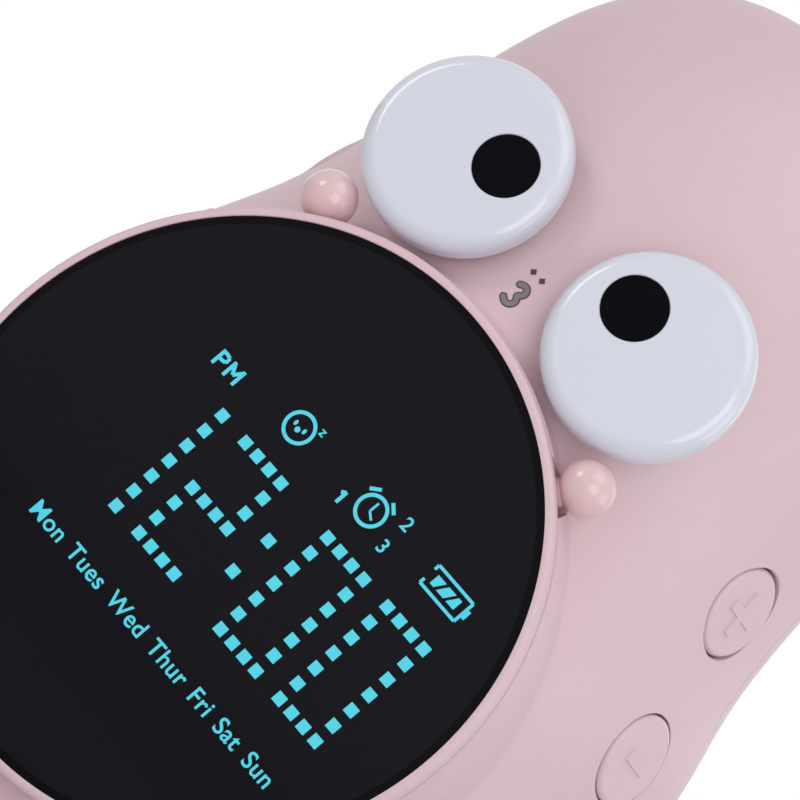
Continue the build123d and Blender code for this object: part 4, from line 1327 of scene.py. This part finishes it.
def parts_of(mesh):
    """Weld a mesh's seams and give the points of each of its separate parts."""
    work = bmesh.new()
    work.from_mesh(mesh)
    bmesh.ops.remove_doubles(work, verts=work.verts, dist=SEAM_WELD)
    work.to_mesh(mesh)
    left = set(work.verts)
    parts = []
    while left:
        part = [left.pop()]
        for vertex in part:
            for edge in vertex.link_edges:
                other = edge.other_vert(vertex)
                if other in left:
                    left.remove(other)
                    part.append(other)
        parts.append([vertex.co.copy() for vertex in part])
    work.free()
    return parts


def crossed_screws(node, outward):
    """A node's own screws with a cross recess in each head, which looks outward."""
    source = NODES[node]
    mesh = source.data.copy()
    mesh.transform(source.matrix_world)
    piece = new_piece(node + "_crossed", mesh)
    for points in parts_of(mesh):
        low = Vector([min(point[axis] for point in points) for axis in range(3)])
        high = Vector([max(point[axis] for point in points) for axis in range(3)])
        middle = (low + high) / 2
        head = max(point.dot(outward) for point in points)
        crown = middle + outward * (head - middle.dot(outward))
        place = axes_place(crown, Vector((1, 0, 0)), outward)
        reach = (high.x - low.x) / 2 * CROSS_SHARE
        half = CROSS_WIDTH / 2
        for across, along in ((reach, half), (half, reach)):
            cut(piece, block("cross", (-across, -along, -CROSS_DEPTH), (across, along, OVERRUN), place))
    finish_piece(piece, "screw", "case", node)


class CLOCK_OT_inside(bpy.types.Operator):
    """Give the base and the pieces inside their finishes"""
    bl_idname = "clock.inside"
    bl_label = "Base and inside"

    def execute(self, context):
        """Assign a finish to each node that keeps its own shape."""
        for node, finish in NODE_FINISHES.items():
            finish_node(node, finish)
        crossed_screws("case_screws", Vector((0, 1, 0)))
        crossed_screws("base_screws", Vector((0, 0, -1)))
        return {"FINISHED"}


# Floor, and lamps: name, place, size, power before the common level, colour. All in metres and watts.
FLOOR_REACH = 3.0
FLOOR_THICKNESS = 0.01
NEAR_CLIP = 0.01
LAMP_AIM = (0.0, 0.0, 0.09)
LAMPS = (
    ("overhead", (0.12, -0.45, 0.95), 0.7, 6.2, (0.96, 0.97, 1.0)),
    ("front", (0.62, -0.92, 0.34), 0.7, 9.6, (1.0, 0.99, 0.98)),
    ("left", (-0.8, -0.75, 0.35), 0.35, 5.0, (1.0, 0.98, 0.97)),
    ("right", (1.0, -0.02, 0.34), 0.6, 4.0, (0.98, 0.98, 1.0)),
    ("rear", (0.3, 1.0, 0.7), 0.8, 4.0, (0.97, 0.98, 1.0)),
)


def make_floor():
    """Pale paper floor under the clock."""
    low = (-FLOOR_REACH, -FLOOR_REACH, -FLOOR_THICKNESS)
    floor = block("floor", low, (FLOOR_REACH, FLOOR_REACH, 0.0), WORLD)
    paper, nodes, links, shader, place = new_finish("floor_paper")
    grain = noise(nodes, links, place, FLOOR_GRAIN)
    tint(nodes, links, grain, FLOOR_WHITE, 0.99, shader.inputs["Base Color"])
    shader.inputs["Roughness"].default_value = 0.9
    floor.data.materials.append(paper)


def add_lamp(name, place, size, power, colour):
    """Soft square lamp that looks at the clock's middle."""
    lamp = bpy.data.lights.new(name, "AREA")
    lamp.size = size
    lamp.energy = power
    lamp.color = colour
    holder = new_piece(name, lamp)
    holder.location = place
    holder.rotation_euler = (Vector(LAMP_AIM) - Vector(place)).to_track_quat("-Z", "Y").to_euler()


def larger(nodes, links, first, second):
    """The larger of two values."""
    node = nodes.new("ShaderNodeMath")
    node.operation = "MAXIMUM"
    links.new(first, node.inputs[0])
    links.new(second, node.inputs[1])
    return node.outputs["Value"]


def make_sky(level):
    """World that lights at a level, and that is white where it is seen directly, mirrored or through."""
    world = bpy.data.worlds.new("studio")
    bpy.context.scene.world = world
    world.use_nodes = True
    nodes, links = world.node_tree.nodes, world.node_tree.links
    sky = nodes["Background"]
    sky.inputs["Color"].default_value = (1.0, 1.0, 1.0, 1.0)
    rays = nodes.new("ShaderNodeLightPath").outputs
    seen = larger(nodes, links, rays["Is Camera Ray"], rays["Is Glossy Ray"])
    seen = larger(nodes, links, seen, rays["Is Transmission Ray"])
    strength = nodes.new("ShaderNodeMapRange")
    strength.inputs["To Min"].default_value = level
    strength.inputs["To Max"].default_value = 1.0
    links.new(seen, strength.inputs["Value"])
    links.new(strength.outputs["Result"], sky.inputs["Strength"])


def make_camera(stage):
    """Camera that looks at a point near the display's middle, rolled as the photograph is."""
    camera = bpy.data.cameras.new("camera")
    camera.lens = stage.focal
    camera.clip_start = NEAR_CLIP
    holder = new_piece("camera", camera)
    aim = DISPLAY @ Vector((stage.aim_right, stage.aim_up, -LENS_RECESS))
    view = facing(aim, stage.camera_turn, stage.camera_rise)
    back = Matrix.Translation((0, 0, stage.camera_distance))
    holder.matrix_world = view @ back @ Matrix.Rotation(stage.camera_roll, 4, "Z")
    bpy.context.scene.camera = holder


class CLOCK_OT_stage(bpy.types.Operator):
    """Set up the floor, the light and the camera"""
    bl_idname = "clock.stage"
    bl_label = "Stage"

    def execute(self, context):
        """Build the stage round the clock."""
        stage = context.scene.clock_stage
        make_floor()
        for name, place, size, power, colour in LAMPS:
            add_lamp(name, place, size, power * stage.lamps, colour)
        make_sky(stage.sky)
        make_camera(stage)
        context.scene.view_settings.view_transform = "Standard"
        return {"FINISHED"}


class CLOCK_OT_finishes(bpy.types.Operator):
    """Make the finishes of the clock"""
    bl_idname = "clock.finishes"
    bl_label = "Finishes"

    def execute(self, context):
        """Make every material."""
        make_finishes(context.scene.clock_colours)
        return {"FINISHED"}


STEPS = ("finishes", "case", "display", "digits", "eyes", "hands", "buttons", "face", "inside", "stage")


class CLOCK_PT_panel(bpy.types.Panel):
    """Panel with the clock's settings and steps"""
    bl_idname = "CLOCK_PT_panel"
    bl_label = "Alarm clock"
    bl_space_type = "VIEW_3D"
    bl_region_type = "UI"
    bl_category = "Alarm clock"

    def draw(self, context):
        """List the settings and the steps."""
        for group in (context.scene.clock_colours, context.scene.clock_sizes, context.scene.clock_stage):
            for name in group.bl_rna.properties.keys():
                if name not in ("rna_type", "name"):
                    self.layout.prop(group, name)
        for step in STEPS:
            self.layout.operator("clock." + step)


CLASSES = (
    ClockColours, ClockSizes, ClockStage,
    CLOCK_OT_finishes, CLOCK_OT_case, CLOCK_OT_display, CLOCK_OT_digits, CLOCK_OT_eyes, CLOCK_OT_hands,
    CLOCK_OT_buttons, CLOCK_OT_face, CLOCK_OT_inside, CLOCK_OT_stage, CLOCK_PT_panel,
)


def register():
    """Add the clock's classes and settings."""
    for kind in CLASSES:
        bpy.utils.register_class(kind)
    bpy.types.Scene.clock_colours = PointerProperty(type=ClockColours)
    bpy.types.Scene.clock_sizes = PointerProperty(type=ClockSizes)
    bpy.types.Scene.clock_stage = PointerProperty(type=ClockStage)


def unregister():
    """Take the clock's classes and settings away."""
    del bpy.types.Scene.clock_stage
    del bpy.types.Scene.clock_sizes
    del bpy.types.Scene.clock_colours
    for kind in reversed(CLASSES):
        bpy.utils.unregister_class(kind)


def main():
    """Build the whole clock."""
    register()
    for step in STEPS:
        getattr(bpy.ops.clock, step)()


if __name__ == "__main__":
    main()
